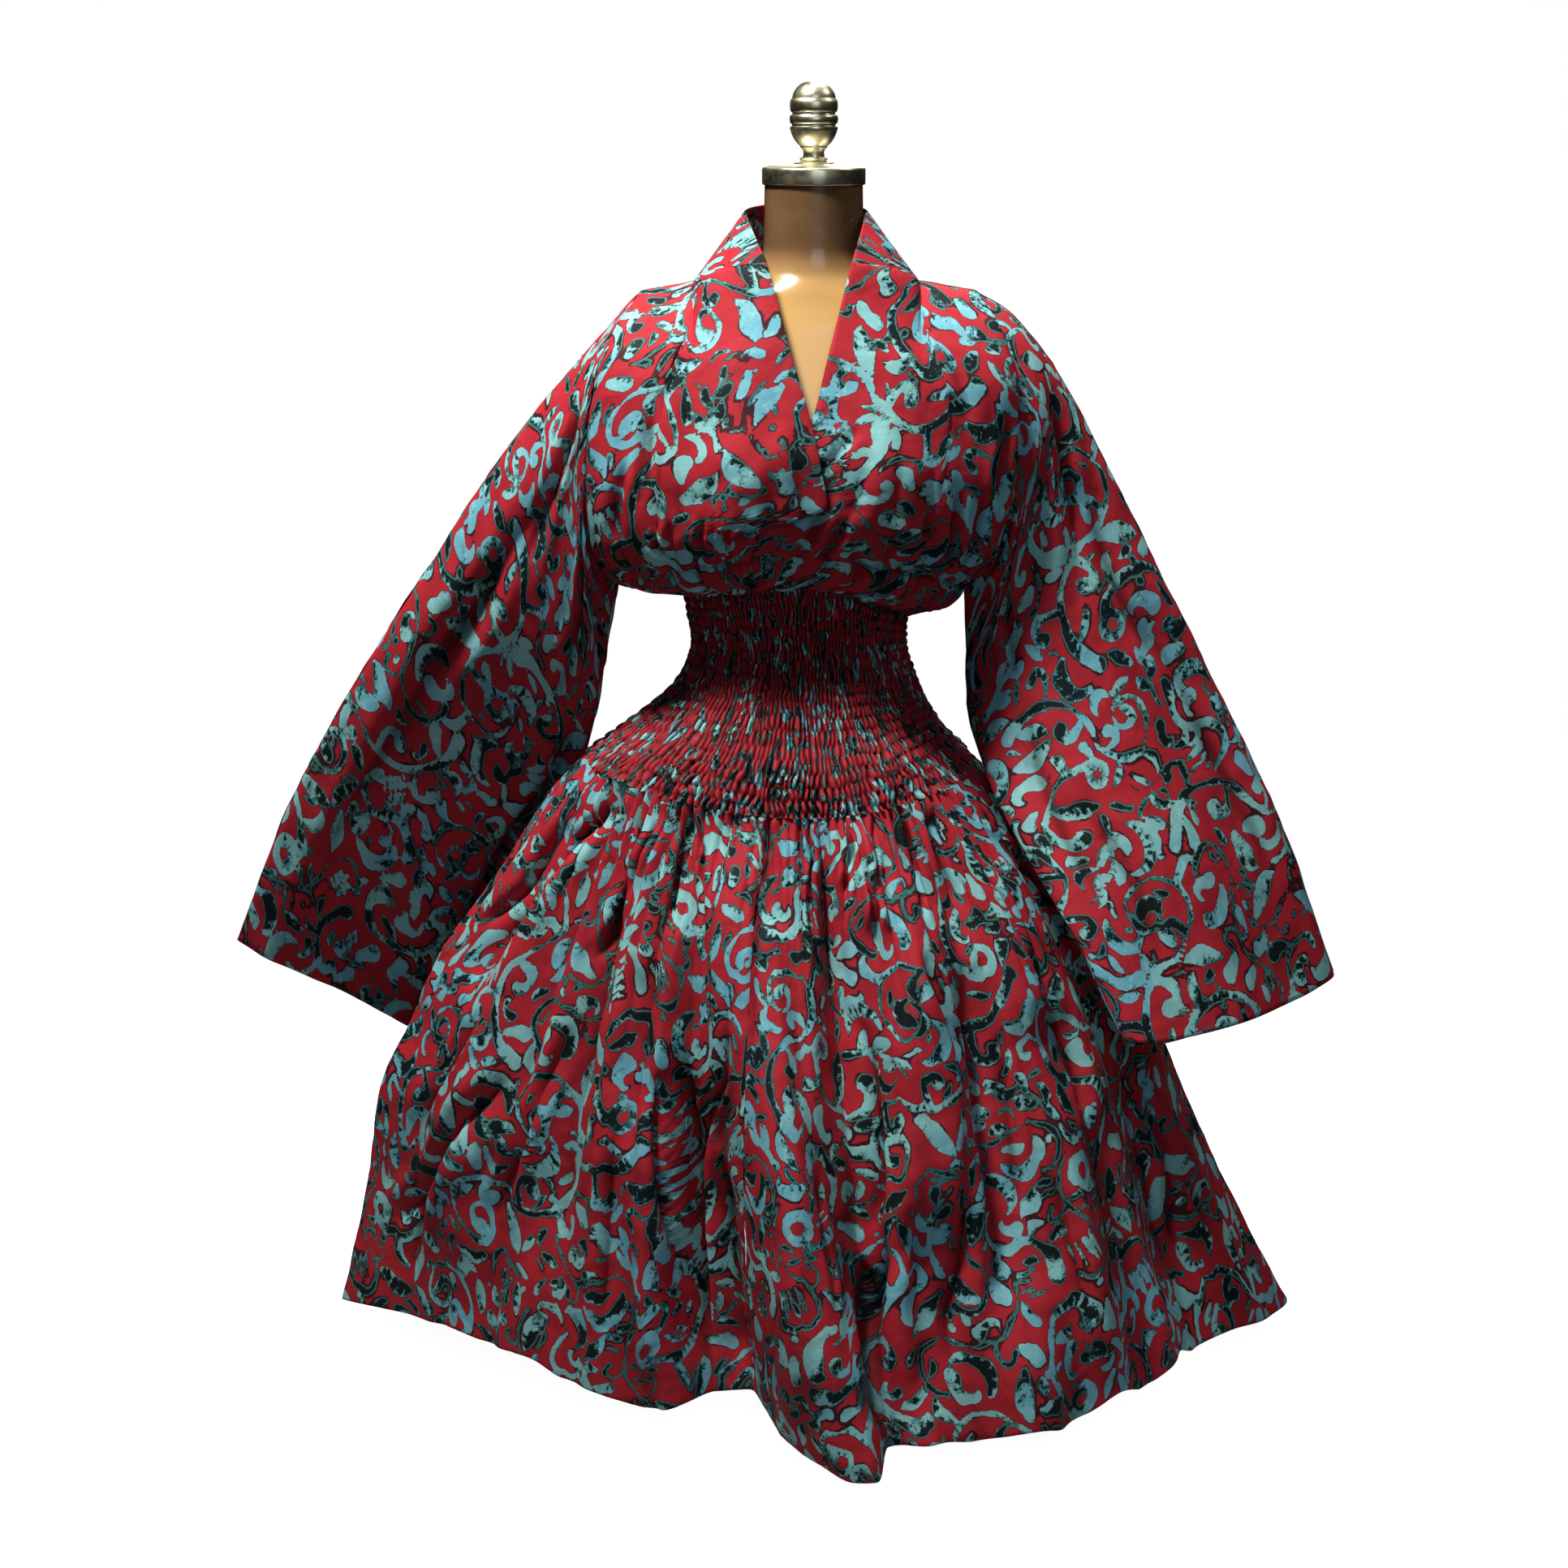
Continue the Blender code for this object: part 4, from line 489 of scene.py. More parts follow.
MOTIFS = {
    "vine": (
        Stroke(0, 0, 70, 260, -150, 240, 7.5, 2.8, 2.4),
        Stroke(0, 0, 50, 52, 60, 150, 2.2, 4.2, 7.0, 0.22),
        Stroke(0, 0, -58, 44, -40, -140, 2.0, 4.6, 7.5, 0.40),
        Stroke(0, 0, 52, 38, 50, 160, 1.8, 4.4, 6.5, 0.58),
        Stroke(0, 0, -50, 34, -30, -60, 1.8, 6.0, 1.6, 0.76),
        Stroke(0, 0, 10, 84, 150, 210, 2.4, 3.6, 5.5, 1.00),
    ),
    "tendril": (
        Stroke(0, 0, 60, 190, -120, 210, 1.6, 2.4, 3.4),
        Stroke(0, 0, 46, 40, 60, 150, 1.4, 2.0, 3.6, 0.30),
        Stroke(0, 0, -50, 34, -50, -120, 1.4, 2.0, 3.2, 0.55),
    ),
    "spiral": (
        Stroke(0, 0, 20, 215, 130, 560, 3.2, 5.0, 4.0),
        Stroke(2, -2, 200, 66, -50, -90, 3.0, 6.0, 9.0),
        Stroke(0, 0, -70, 34, -30, -60, 2.4, 6.5, 2.0, 0.30),
    ),
    "scroll": (
        Stroke(-48, 0, 60, 150, -150, 200, 9.0, 4.4, 3.0),
        Stroke(0, 0, -50, 54, -60, -260, 3.0, 5.0, 8.0, 0.62),
        Stroke(0, 0, 64, 30, 40, 60, 2.2, 5.5, 1.6, 0.34),
    ),
    "band": (Stroke(0, 0, 80, 150, -110, -150, 4.5, 6.5, 8.5),),
    "blot": (
        Stroke(-20, 0, 10, 48, 60, -70, 9.0, 15.0, 8.0),
        Stroke(0, 5, 100, 34, 40, 60, 9.0, 6.5, 4.0),
        Stroke(8, -2, -60, 34, -50, -80, 8.0, 5.0, 6.0),
        Stroke(0, 0, 180, 40, 40, 90, 6.0, 2.4, 4.4, 0.02),
    ),
    "sprig": (
        Stroke(0, 0, 90, 104, 26, 44, 4.4, 3.0, 1.8),
        Stroke(0, 0, -62, 30, 30, 44, 1.6, 7.0, 1.4, 0.20),
        Stroke(0, 0, 62, 30, -30, -44, 1.6, 7.0, 1.4, 0.32),
        Stroke(0, 0, -58, 28, 30, 44, 1.6, 6.6, 1.4, 0.48),
        Stroke(0, 0, 58, 27, -30, -44, 1.6, 6.2, 1.4, 0.62),
        Stroke(0, 0, -50, 25, 30, 44, 1.6, 5.8, 1.4, 0.78),
    ),
    "comma": (Stroke(0, 0, 0, 46, 50, 130, 11.0, 6.4, 1.8),),
    "crescent": (Stroke(0, 0, 0, 66, 85, 85, 2.0, 9.0, 2.2),),
    "kite": (
        Stroke(-17, 3, 45, 21, 30, 20, 1.4, 4.2, 1.4),
        Stroke(3, 17, -45, 21, 30, 20, 1.4, 4.2, 1.4),
        Stroke(17, -3, -135, 21, 30, 20, 1.4, 4.2, 1.4),
        Stroke(-3, -17, 135, 21, 30, 20, 1.4, 4.2, 1.4),
    ),
    "leaf": (Stroke(0, 0, 0, 50, 16, 22, 1.2, 9.5, 1.2),),
    "drop": (Stroke(0, 0, 0, 27, 0, 15, 10.5, 8.0, 1.6),),
    "fingers": (
        Stroke(-13, 0, 82, 30, 8, 10, 1.8, 3.4, 1.4),
        Stroke(-3, 2, 86, 34, 6, 8, 1.8, 3.6, 1.4),
        Stroke(7, 1, 90, 32, -6, 4, 1.8, 3.4, 1.4),
        Stroke(16, -3, 96, 25, -8, -8, 1.6, 3.0, 1.2),
    ),
    "arc": (Stroke(0, 0, 0, 74, 80, 110, 1.4, 3.2, 1.6),),
    "tick": (Stroke(0, 0, 0, 21, 30, 30, 1.8, 3.6, 1.2),),
    "dot": (Stroke(0, 0, 0, 5, 0, 0, 4.6, 4.4, 4.0),),
}

# The order in which motifs are laid, how many, the room that each must leave, and its
# tone: above 2 they are solid ink, and below -1 solid light
Laid = namedtuple("Laid", "motif count size gap tone", defaults=(0.0,))

PRINT_ORDER = (
    Laid("vine", 4, 1.30, 3.6),
    Laid("tendril", 4, 1.20, 3.0, 3.0),
    Laid("spiral", 3, 1.20, 3.4),
    Laid("scroll", 4, 1.20, 3.4),
    Laid("blot", 7, 1.30, 3.2),
    Laid("sprig", 7, 1.25, 3.2),
    Laid("band", 4, 1.15, 3.2),
    Laid("kite", 4, 1.30, 3.0),
    Laid("crescent", 9, 1.30, 3.0),
    Laid("leaf", 12, 1.25, 3.0),
    Laid("fingers", 7, 1.25, 2.8),
    Laid("comma", 6, 1.25, 3.0, -1.6),
    Laid("drop", 9, 1.15, 2.8, -1.6),
    Laid("arc", 9, 1.10, 2.6, 3.0),
    Laid("tendril", 6, 0.80, 2.4, 3.0),
    Laid("leaf", 16, 0.90, 2.8),
    Laid("crescent", 12, 0.85, 2.8),
    Laid("comma", 12, 0.80, 2.6),
    Laid("drop", 22, 0.85, 2.6),
    Laid("fingers", 7, 0.85, 2.4),
    Laid("leaf", 18, 0.62, 2.4),
    Laid("tick", 30, 1.10, 2.2, 2.0),
    Laid("dot", 16, 0.90, 2.4),
)
TILE_ACROSS, TILE_ALONG = 520, 560  # cells
TILE_CELL = 0.00088
TILE_REACH = 16.0  # distances beyond this many cells are all alike
TRIES = 240


def unit(vectors):
    return vectors / np.maximum(np.linalg.norm(vectors, axis=-1, keepdims=True), 1e-12)


def read(rows, key, column, at):
    """A column of a table, read between its rows along a curve that never overshoots."""
    xs = np.array([getattr(row, key) for row in rows], float)
    ys = np.array([getattr(row, column) for row in rows], float)
    at = np.clip(at, xs[0], xs[-1])
    steps = np.diff(xs)
    slopes = np.diff(ys) / steps
    before, after = slopes[:-1], slopes[1:]
    same_way = before * after > 0
    total = np.where(same_way, before + after, 1.0)
    ends = np.concatenate(
        [slopes[:1], np.where(same_way, 2 * before * after / total, 0.0), slopes[-1:]]
    )
    i = np.clip(np.searchsorted(xs, at, side="right") - 1, 0, len(xs) - 2)
    q = (at - xs[i]) / steps[i]
    return (
        ys[i] * (1 + 2 * q) * (1 - q) ** 2
        + ends[i] * steps[i] * q * (1 - q) ** 2
        + ys[i + 1] * q * q * (3 - 2 * q)
        + ends[i + 1] * steps[i] * q * q * (q - 1)
    )


def ease(low, high, at):
    """0 below low, 1 above high, and an even swing between."""
    q = np.clip((at - low) / (high - low), 0.0, 1.0)
    return q * q * (3 - 2 * q)


def uneven(across, along, size, seed):
    """Smooth chance values from -1 to 1 over a surface, about size apart."""
    lattice = np.random.default_rng(seed).uniform(-1, 1, (97, 89))
    x, y = np.broadcast_arrays(across / size, along / size)
    i, j = np.floor(x).astype(int), np.floor(y).astype(int)
    p, q = x - i, y - j
    p, q = p * p * (3 - 2 * p), q * q * (3 - 2 * q)
    low = lattice[i % 97, j % 89] * (1 - p) + lattice[(i + 1) % 97, j % 89] * p
    high = lattice[i % 97, (j + 1) % 89] * (1 - p) + lattice[(i + 1) % 97, (j + 1) % 89] * p
    return low * (1 - q) + high * q


def ring_reach(rings, angle, z):
    """How far the tube that the rings describe reaches at this angle from the front."""
    side = np.where(np.sin(angle) > 0, read(rings, "z", "right", z), read(rings, "z", "left", z))
    ahead = np.where(np.cos(angle) > 0, read(rings, "z", "front", z), read(rings, "z", "back", z))
    return 1 / np.hypot(np.sin(angle) / side, np.cos(angle) / ahead)


def ring_point(rings, angle, z, extra=0.0):
    reach = ring_reach(rings, angle, z) + extra
    middle = read(rings, "z", "middle", z)
    return np.stack([middle + reach * np.sin(angle), -reach * np.cos(angle), z + 0 * reach], -1)


def smock_top(angle):
    side = np.where(np.sin(angle) < 0, SMOCK_TOP_LEFT, SMOCK_TOP_RIGHT)
    middle = np.where(np.cos(angle) > 0, SMOCK_TOP_FRONT, SMOCK_TOP_BACK)
    return side + (middle - side) * np.cos(angle) ** 2


def smock_hem(angle):
    return SMOCK_HEM_SIDE - SMOCK_HEM_DIP * np.abs(np.cos(angle)) ** SMOCK_HEM_ROUND


# Grids of cloth

Grid = namedtuple("Grid", "points across along")


def facing(points):
    """The way that the cloth faces at each point of a grid."""
    return unit(np.cross(np.gradient(points, axis=1), np.gradient(points, axis=0)))


def grid_of(points, fullness=1.0):
    """A grid with its cloth coordinates: across from its middle, and down from its top."""
    steps = np.linalg.norm(np.diff(points, axis=1), axis=2) * fullness
    across = np.pad(np.cumsum(steps, axis=1), ((0, 0), (1, 0)))
    across -= across[:, across.shape[1] // 2][:, None]
    drops = np.linalg.norm(np.diff(points, axis=0), axis=2)[::-1]
    along = np.pad(np.cumsum(drops, axis=0), ((1, 0), (0, 0)))[::-1]
    return Grid(points, across, along)


def moved_out(grid, height):
    """The grid with its points moved along their own facing."""
    return grid._replace(points=grid.points + facing(grid.points) * height[..., None])


def edge_first(values, edge):
    """Turns a grid of values so that one of its edges is its first row, or turns it back."""
    if edge in ("left", "right"):
        values = np.swapaxes(values, 0, 1)
    return values[::-1] if edge in ("high", "right") else values


def edge_back(values, edge):
    values = values[::-1] if edge in ("high", "right") else values
    return np.swapaxes(values, 0, 1) if edge in ("left", "right") else values


def turned_under(grid, edge):
    """Folds the cloth under along one edge: low, high, left or right."""
    points, normals = edge_first(grid.points, edge), edge_first(facing(grid.points), edge)
    beyond = unit(points[:1] - points[1:2])
    behind = slice(EDGE_TURN, 0, -1)
    under = points[behind] - normals[behind] * EDGE_INSET
    lip = points[:1] + beyond * EDGE_INSET / 3 - normals[:1] * EDGE_INSET / 2
    folded = [edge_back(np.concatenate([under, lip, points]), edge)]
    for values in (grid.across, grid.along):
        values = edge_first(values, edge)
        mirrored = 2 * values[:1] - values[behind]
        folded.append(edge_back(np.concatenate([mirrored, values[:1], values]), edge))
    return Grid(*folded)


def creased(grid, creases):
    """Presses soft troughs, with low shoulders beside them, into the cloth."""
    points = grid.points
    normals = facing(points)
    right, up = unit(np.gradient(points, axis=1)), unit(np.gradient(points, axis=0))
    for c in creases:
        run = np.array([c.to_across - c.across, c.to_along - c.along])
        length = np.hypot(*run)
        run = run / length
        x, y = grid.across - c.across, grid.along - c.along
        t = (x * run[0] + y * run[1]) / length
        aside = (x * run[1] - y * run[0] + c.bow * 4 * t * (1 - t)) / c.width
        fade = ease(0.0, 0.30, t) * (1 - ease(0.66, 1.0, t))
        trough = np.exp(-(np.abs(aside) ** 1.4))
        shoulder = np.exp(-((np.abs(aside) - 2.2) ** 2))
        height = c.depth * fade * (0.35 * shoulder - trough)
        over = c.lean * c.width * fade * np.exp(-((aside * np.sign(c.lean) - 1.3) ** 2))
        sideways = right * run[1] + up * run[0]
        points = points + normals * height[..., None] - sideways * over[..., None]
    return grid._replace(points=points)


def rumpled(grid, depth, size, seed):
    """Small uneven dents and ridges, such as crisp cotton keeps from being worn."""
    soft = uneven(grid.across, grid.along, size, seed)
    ridge = 1 - 2 * np.abs(uneven(grid.across + soft * size / 3, grid.along, size * 1.6, seed + 1))
    return moved_out(grid, depth * (0.6 * soft + 0.4 * ridge))


def evened(values, axis, cells):
    """Each value's mean with its neighbours, up to this many cells away along an axis."""
    width = [(0, 0)] * values.ndim
    width[axis] = (cells + 1, cells)
    total = np.cumsum(np.pad(values, width, mode="edge"), axis=axis)
    ahead = np.take(total, np.arange(2 * cells + 1, total.shape[axis]), axis=axis)
    behind = np.take(total, np.arange(0, total.shape[axis] - 2 * cells - 1), axis=axis)
    return (ahead - behind) / (2 * cells + 1)


def fold_shade(grid):
    """How much painted shade each point of the cloth gets for lying deep in a fold, from 0 to 1."""
    points, normals = grid.points, facing(grid.points)
    deep = np.zeros(points.shape[:2])
    for cells, shallow, full, share in FOLD_SHADE_SIZES:
        sunk = [(normals * (evened(points, axis, cells) - points)).sum(-1) for axis in (0, 1)]
        deep = deep + share * ease(shallow, full, np.maximum(*sunk))
    return deep


def sewn_down(grid, edges, depth=0.0011, width=0.0034, pucker=0.011):
    """Draws the cloth in along its seams, with small puckers."""
    height = np.zeros(grid.across.shape)
    for edge in edges:
        points = edge_first(grid.points, edge)
        steps = np.linalg.norm(np.diff(points, axis=0), axis=2)
        away = np.pad(np.cumsum(steps, axis=0), ((1, 0), (0, 0)))
        run = np.pad(np.cumsum(np.linalg.norm(np.diff(points, axis=1), axis=2), axis=1), ((0, 0), (1, 0)))
        draw = np.exp(-((away / width) ** 2))
        swell = np.exp(-(((away - 2.4 * width) / (1.6 * width)) ** 2))
        wave = uneven(run, away * 0.3, pucker / 2, 71)
        height += edge_back(-depth * draw + depth * 0.8 * swell * wave, edge)
    return moved_out(grid, height)


# The print


# Parts of a disc of a brush stroke: its place, its radius, the direction across the
# stroke, and how far along the stroke it lies
PLACE, RADIUS, ACROSS, RUN = slice(0, 2), 2, slice(3, 5), 5


def stroke_discs(stroke, start, heading):
    """A brush stroke as rows of discs along its path."""
    steps = max(int(stroke.length / 1.6), 3)
    t = (np.arange(steps) + 0.5) / steps
    turning = np.where(t < 0.5, stroke.bend, stroke.curl) * 2
    # the curl tightens evenly towards the end of the stroke
    swing = np.cumsum(turning) / steps * (0.75 + 0.25 * t)
    heading = np.radians(heading + swing)
    step = stroke.length / steps
    x, y = np.cumsum(np.cos(heading)) * step, np.cumsum(np.sin(heading)) * step
    first = stroke.start + (stroke.middle - stroke.start) * np.sin(np.minimum(t * 2, 1) * np.pi / 2)
    last = stroke.end + (stroke.middle - stroke.end) * np.cos(np.maximum(t * 2 - 1, 0) * np.pi / 2)
    radius = np.where(t < 0.5, first, last)
    rows = (start[0] + x, start[1] + y, radius, -np.sin(heading), np.cos(heading), t * stroke.length)
    return np.stack(rows, 1)


def motif_discs(name):
    """The discs of all strokes of a motif, about the middle of the motif."""
    drawn = []
    for stroke in MOTIFS[name]:
        start, heading = (stroke.x, stroke.y), stroke.heading
        if stroke.share is not None:
            root = drawn[0][min(int(stroke.share * len(drawn[0])), len(drawn[0]) - 1)]
            start = root[PLACE]
            heading += math.degrees(math.atan2(-root[ACROSS][0], root[ACROSS][1]))
        drawn.append(stroke_discs(stroke, start, heading))
    discs = np.concatenate(drawn)
    discs[:, PLACE] -= (discs[:, PLACE].min(0) + discs[:, PLACE].max(0)) / 2
    return discs


def placed(discs, x, y, turn, size, flip):
    """The motif's discs turned, scaled, mirrored and laid at a point of the tile."""
    c, s = math.cos(turn) * size, math.sin(turn) * size
    way = np.array([[c, -s * flip], [s, c * flip]])
    laid = discs.copy()
    laid[:, PLACE] = discs[:, PLACE] @ way.T + (x, y)
    laid[:, (RADIUS, RUN)] *= size
    laid[:, ACROSS] = discs[:, ACROSS] @ way.T / size
    return laid


def lay_print(seed=33):
    """The tile of the print, in three layers.

    They are the distance to the nearest motif in metres, on which side of its stroke a
    point lies, and how far along the stroke in metres.
    """
    chance = np.random.default_rng(seed)
    distance = np.full((TILE_ALONG, TILE_ACROSS), TILE_REACH)
    side, run = np.zeros_like(distance), np.zeros_like(distance)
    for row in PRINT_ORDER:
        discs = motif_discs(row.motif)
        for _ in range(row.count):
            best, found = None, 1e9
            for _ in range(TRIES):
                x, y = chance.uniform(0, TILE_ACROSS), chance.uniform(0, TILE_ALONG)
                turn, flip = chance.uniform(0, 2 * math.pi), chance.choice((-1, 1))
                laid = placed(discs, x, y, turn, row.size * chance.uniform(0.86, 1.14), flip)
                cells = laid[::3, PLACE].astype(int)
                room = distance[cells[:, 1] % TILE_ALONG, cells[:, 0] % TILE_ACROSS] - laid[::3, RADIUS]
                spare = room.min() - row.gap
                if 0 <= spare < found:
                    best, found = laid, spare
            if best is not None:
                draw_motif(distance, side, run, best, row.tone)
    return distance * TILE_CELL, side, run * TILE_CELL


def draw_motif(distance, side, run, discs, tone):
    """Draws one motif into the tile's layers, wrapping round its edges."""
    low = np.floor(discs[:, PLACE].min(0) - TILE_REACH - 16).astype(int)
    high = np.ceil(discs[:, PLACE].max(0) + TILE_REACH + 16).astype(int)
    xs, ys = np.arange(low[0], high[0]), np.arange(low[1], high[1])
    near = np.full((len(ys), len(xs)), TILE_REACH)
    lean, along = np.zeros_like(near), np.zeros_like(near)
    for x, y, radius, across_x, across_y, length in discs:
        away_x, away_y = xs[None, :] - x, ys[:, None] - y
        gap = np.hypot(away_x, away_y) - radius
        closer = gap < near
        near = np.where(closer, gap, near)
        lean = np.where(closer, (away_x * across_x + away_y * across_y) / radius, lean)
        along = np.where(closer, length, along)
    rows, columns = np.ix_(ys % TILE_ALONG, xs % TILE_ACROSS)
    closer = near < distance[rows, columns]
    lean = np.clip(lean, -1.5, 1.5) + tone
    side[rows, columns] = np.where(closer, lean, side[rows, columns])
    run[rows, columns] = np.where(closer, along, run[rows, columns])
    distance[rows, columns] = np.minimum(near, distance[rows, columns])


def read_tile(tile, across, along):
    """Values of a layer at cloth coordinates in metres, evened between its cells."""
    x, y = across / TILE_CELL % TILE_ACROSS, along / TILE_CELL % TILE_ALONG
    i, j = np.floor(x).astype(int), np.floor(y).astype(int)
    p, q = x - i, y - j
    i, j = i % TILE_ACROSS, j % TILE_ALONG
    i2, j2 = (i + 1) % TILE_ACROSS, (j + 1) % TILE_ALONG
    low = tile[j, i] * (1 - p) + tile[j, i2] * p
    high = tile[j2, i] * (1 - p) + tile[j2, i2] * p
    return low * (1 - q) + high * q


# Surfaces of the dress


def skirt_folds(angle, column):
    degrees = (np.degrees(angle) + 90) % 360 - 90
    front = read(FRONT_FOLDS, "angle", column, degrees)
    return np.where(degrees <= 90, front, read(BACK_FOLDS, "angle", column, degrees))


def rolled(angle, share):
    """How far the broad rolls of the skirt move its cloth out, or in where they are hollows."""
    degrees = np.degrees(angle)
    height = 0.0 * (angle + share)
    for roll in ROLLS:
        t = (share - roll.share) / (roll.to_share - roll.share)
        middle = roll.angle + (roll.to_angle - roll.angle) * t + roll.bow * 4 * t * (1 - t)
        aside = ((degrees - middle + 180) % 360 - 180) / roll.width
        height += roll.height * ease(0.0, 0.26, t) * (1 - ease(0.72, 1.0, t)) * np.exp(-(aside**2))
    return height


def skirt_point(angle, share):
    """A point of the skirt, from its seam at share 0 to its hem at share 1."""
    turned = angle + np.radians(skirt_folds(angle, "swing")) * (1 - share) * np.cos(angle) ** 2
    top = smock_hem(angle)
    z = top + (skirt_folds(turned, "height") - top) * share
    fold = skirt_folds(turned, "reach") - ring_reach(SKIRT_RINGS, turned, HEM_HEIGHT)
    fold = fold * share ** skirt_folds(turned, "late")
    fold = fold + rolled(angle, share)
    chance = uneven(angle * 9, share * 0.6, 1.0, 5)
    opened = np.maximum(1 - share / (GATHERS_END * (1 + 0.5 * chance)), 0.0) ** 1.4
    started = ease(-0.030, 0.012, share)
    phase = angle * GATHERS_AROUND / 2 + GATHER_DRIFT * uneven(angle * 7, share * 0.8, 1.0, 6)
    puff = np.abs(np.cos(phase)) ** 0.8 - GATHER_LEVEL
    fold = fold + opened * started * GATHER_DEPTH * (0.8 + 0.7 * chance) * puff
    tucked = np.maximum(1 - share / (TUCKS_END * (1 + 0.4 * chance)), 0.0) ** 1.2
    tucked = tucked * ease(0.0, 0.07, share)
    phase = angle * TUCKS_AROUND / 2 + TUCK_DRIFT * uneven(angle * 4, share * 0.6, 1.0, 8)
    fold = fold + tucked * TUCK_DEPTH * (np.abs(np.cos(phase)) - TUCK_LEVEL)
    ripple = uneven(angle * 14 + share * 1.2, share * 1.1, 1.0, 7) * share * (1 - 0.4 * share)
    fold = fold + ripple * RIPPLE_DEPTH
    return ring_point(SKIRT_RINGS, angle, z, fold)


def skirt_sheet(first, last, spacing):
    first, last = math.radians(first), math.radians(last)
    columns = int((last - first) * 0.56 / spacing)
    rows = int(0.68 / spacing)
    gap = SEAM_GAP / 2 / 0.5
    angle = np.linspace(first + gap, last - gap, columns + 1)[None, :]
    share = np.linspace(1.0, 0.0, rows + 1)[:, None]
    grid = grid_of(skirt_point(angle, share))
    fuller = 1 + 0.35 * (1 - share) ** 2
    return grid._replace(across=grid.across * fuller)


def smock_sheet(first, last):
    """Half of the smocked waist: rows of thread draw the cloth into small puffs.

    With its points comes how deep each lies in the slits between the puffs, from 0 to 1, as painted
    shade.
    """
    first, last = math.radians(first), math.radians(last)
    columns = int(PUFFS_AROUND / 2 * PUFF_SAMPLES)
    angle = np.linspace(first + 0.001, last - 0.001, columns + 1)[None, :]
    rise = np.linspace(0.0, 1.0, SMOCK_GRID_ROWS + 1)[:, None]
    low, high = smock_hem(angle), smock_top(angle) - SEAM_GAP / 2
    z = low + (high - low) * rise
    thread = rise * THREAD_ROWS + 0.5 + THREAD_WANDER * uneven(angle * 5, rise * 4, 1.0, 15)
    shift = uneven(angle * 14, thread * 0.9, 1.0, 11) * 1.5 + uneven(angle * 4, thread * 0.4, 1.0, 12)
    stagger = PUFF_STAGGER * uneven(angle * 9, np.floor(thread), 1.0, 14)
    phase = angle * PUFFS_AROUND / 2 + shift + stagger
    drawn = np.abs(np.sin(np.pi * thread))
    tall = 0.42 + 0.58 * drawn**0.7
    chance = 1 + 0.70 * uneven(angle * 26, thread * 0.7, 1.0, 13)
    crest = np.abs(np.cos(phase)) ** 0.62
    puff = (crest - 0.55) * tall * chance
    groove = -0.0010 * (1 - drawn) ** 4
    depth = PUFF_DEPTH * (0.90 + 1.05 * ease(0.0, 1.0, (SMOCK_DEEPER_BELOW - z) / 0.10))
    # painted shade, deepest in the slits between the puffs
    painted_shade = 1 - ease(SLIT_FROM, SLIT_TO, crest * (0.72 + 0.28 * tall))
    return ring_point(SMOCK_RINGS, angle, z, puff * depth + groove + 0.0004), painted_shade


def neckline_point(angle, share):
    """A point of the collar, from its seam at share 0 to its top edge at share 1."""
    front = np.cos(angle) > 0
    seam = np.where(front, COLLAR_FRONT_HEIGHT, COLLAR_BACK_HEIGHT) - NECK_POINT_HEIGHT
    rise = np.minimum(np.abs(np.cos(angle)) / np.where(front, COLLAR_FULL_AT, 1.0), 1.0)
    low = NECK_POINT_HEIGHT + seam * rise
    high = COLLAR_TOP_HEIGHT + np.where(front, 0.0, COLLAR_TOP_BACK_HEIGHT - COLLAR_TOP_HEIGHT) * rise
    middle = NECKLINE_MIDDLE + (COLLAR_TOP_MIDDLE - NECKLINE_MIDDLE) * share
    half = NECKLINE_HALF + (COLLAR_TOP_HALF - NECKLINE_HALF) * share
    ahead = NECKLINE_FRONT + (COLLAR_TOP_FRONT - NECKLINE_FRONT) * share
    behind = NECKLINE_BACK + (COLLAR_TOP_BACK - NECKLINE_BACK) * share
    y = -np.where(front, ahead, behind) * np.cos(angle)
    return np.stack(np.broadcast_arrays(middle + half * np.sin(angle), y, low + (high - low) * share), -1)


def top_edge(x, back, row):
    """Depth and height of the upper edge of the front or back at this x."""
    sine = (x - NECKLINE_MIDDLE) / NECKLINE_HALF
    inside = np.abs(sine) < 1
    angle = np.arcsin(np.clip(sine, -1, 1))
    angle = np.pi - angle if back else angle
    point = neckline_point(angle, 0.0)
    kept = ease(NECK_CORNER_FROM, 1.0, row)
    share = kept + (1 - kept) * np.abs(np.cos(angle))
    depth = np.abs(point[..., 1]) * share
    height = NECK_POINT_HEIGHT + (point[..., 2] - NECK_POINT_HEIGHT) * share
    tip = BODICE_SECTIONS[-1]
    neck = NECKLINE_MIDDLE + np.copysign(NECKLINE_HALF, sine)
    end = tip.middle + np.copysign(tip.half, sine)
    run = np.clip((x - neck) / (end - neck), 0.0, 1.0)
    shoulder = NECK_POINT_HEIGHT + (SHOULDER_TIP_HEIGHT - NECK_POINT_HEIGHT) * run
    return np.where(inside, depth, 0.0), np.where(inside, height, shoulder)


def section_at(row):
    """The bodice section at each row, from the waist seam at -1 to the shoulder at 1."""
    waist = SMOCK_RINGS[-1]
    at_waist = Bodice(-1, waist.left, waist.middle, waist.front, 0.0, 0.0, waist.back, 0.0)
    out = np.where(row < 0, np.sin((row + 1) * np.pi / 2), 1.0)
    values = {}
    for name in Bodice._fields[1:]:
        upper = read(BODICE_SECTIONS, "share", name, np.maximum(row, 0.0))
        values[name] = getattr(at_waist, name) + (upper - getattr(at_waist, name)) * out
    return Bodice(row, **values)


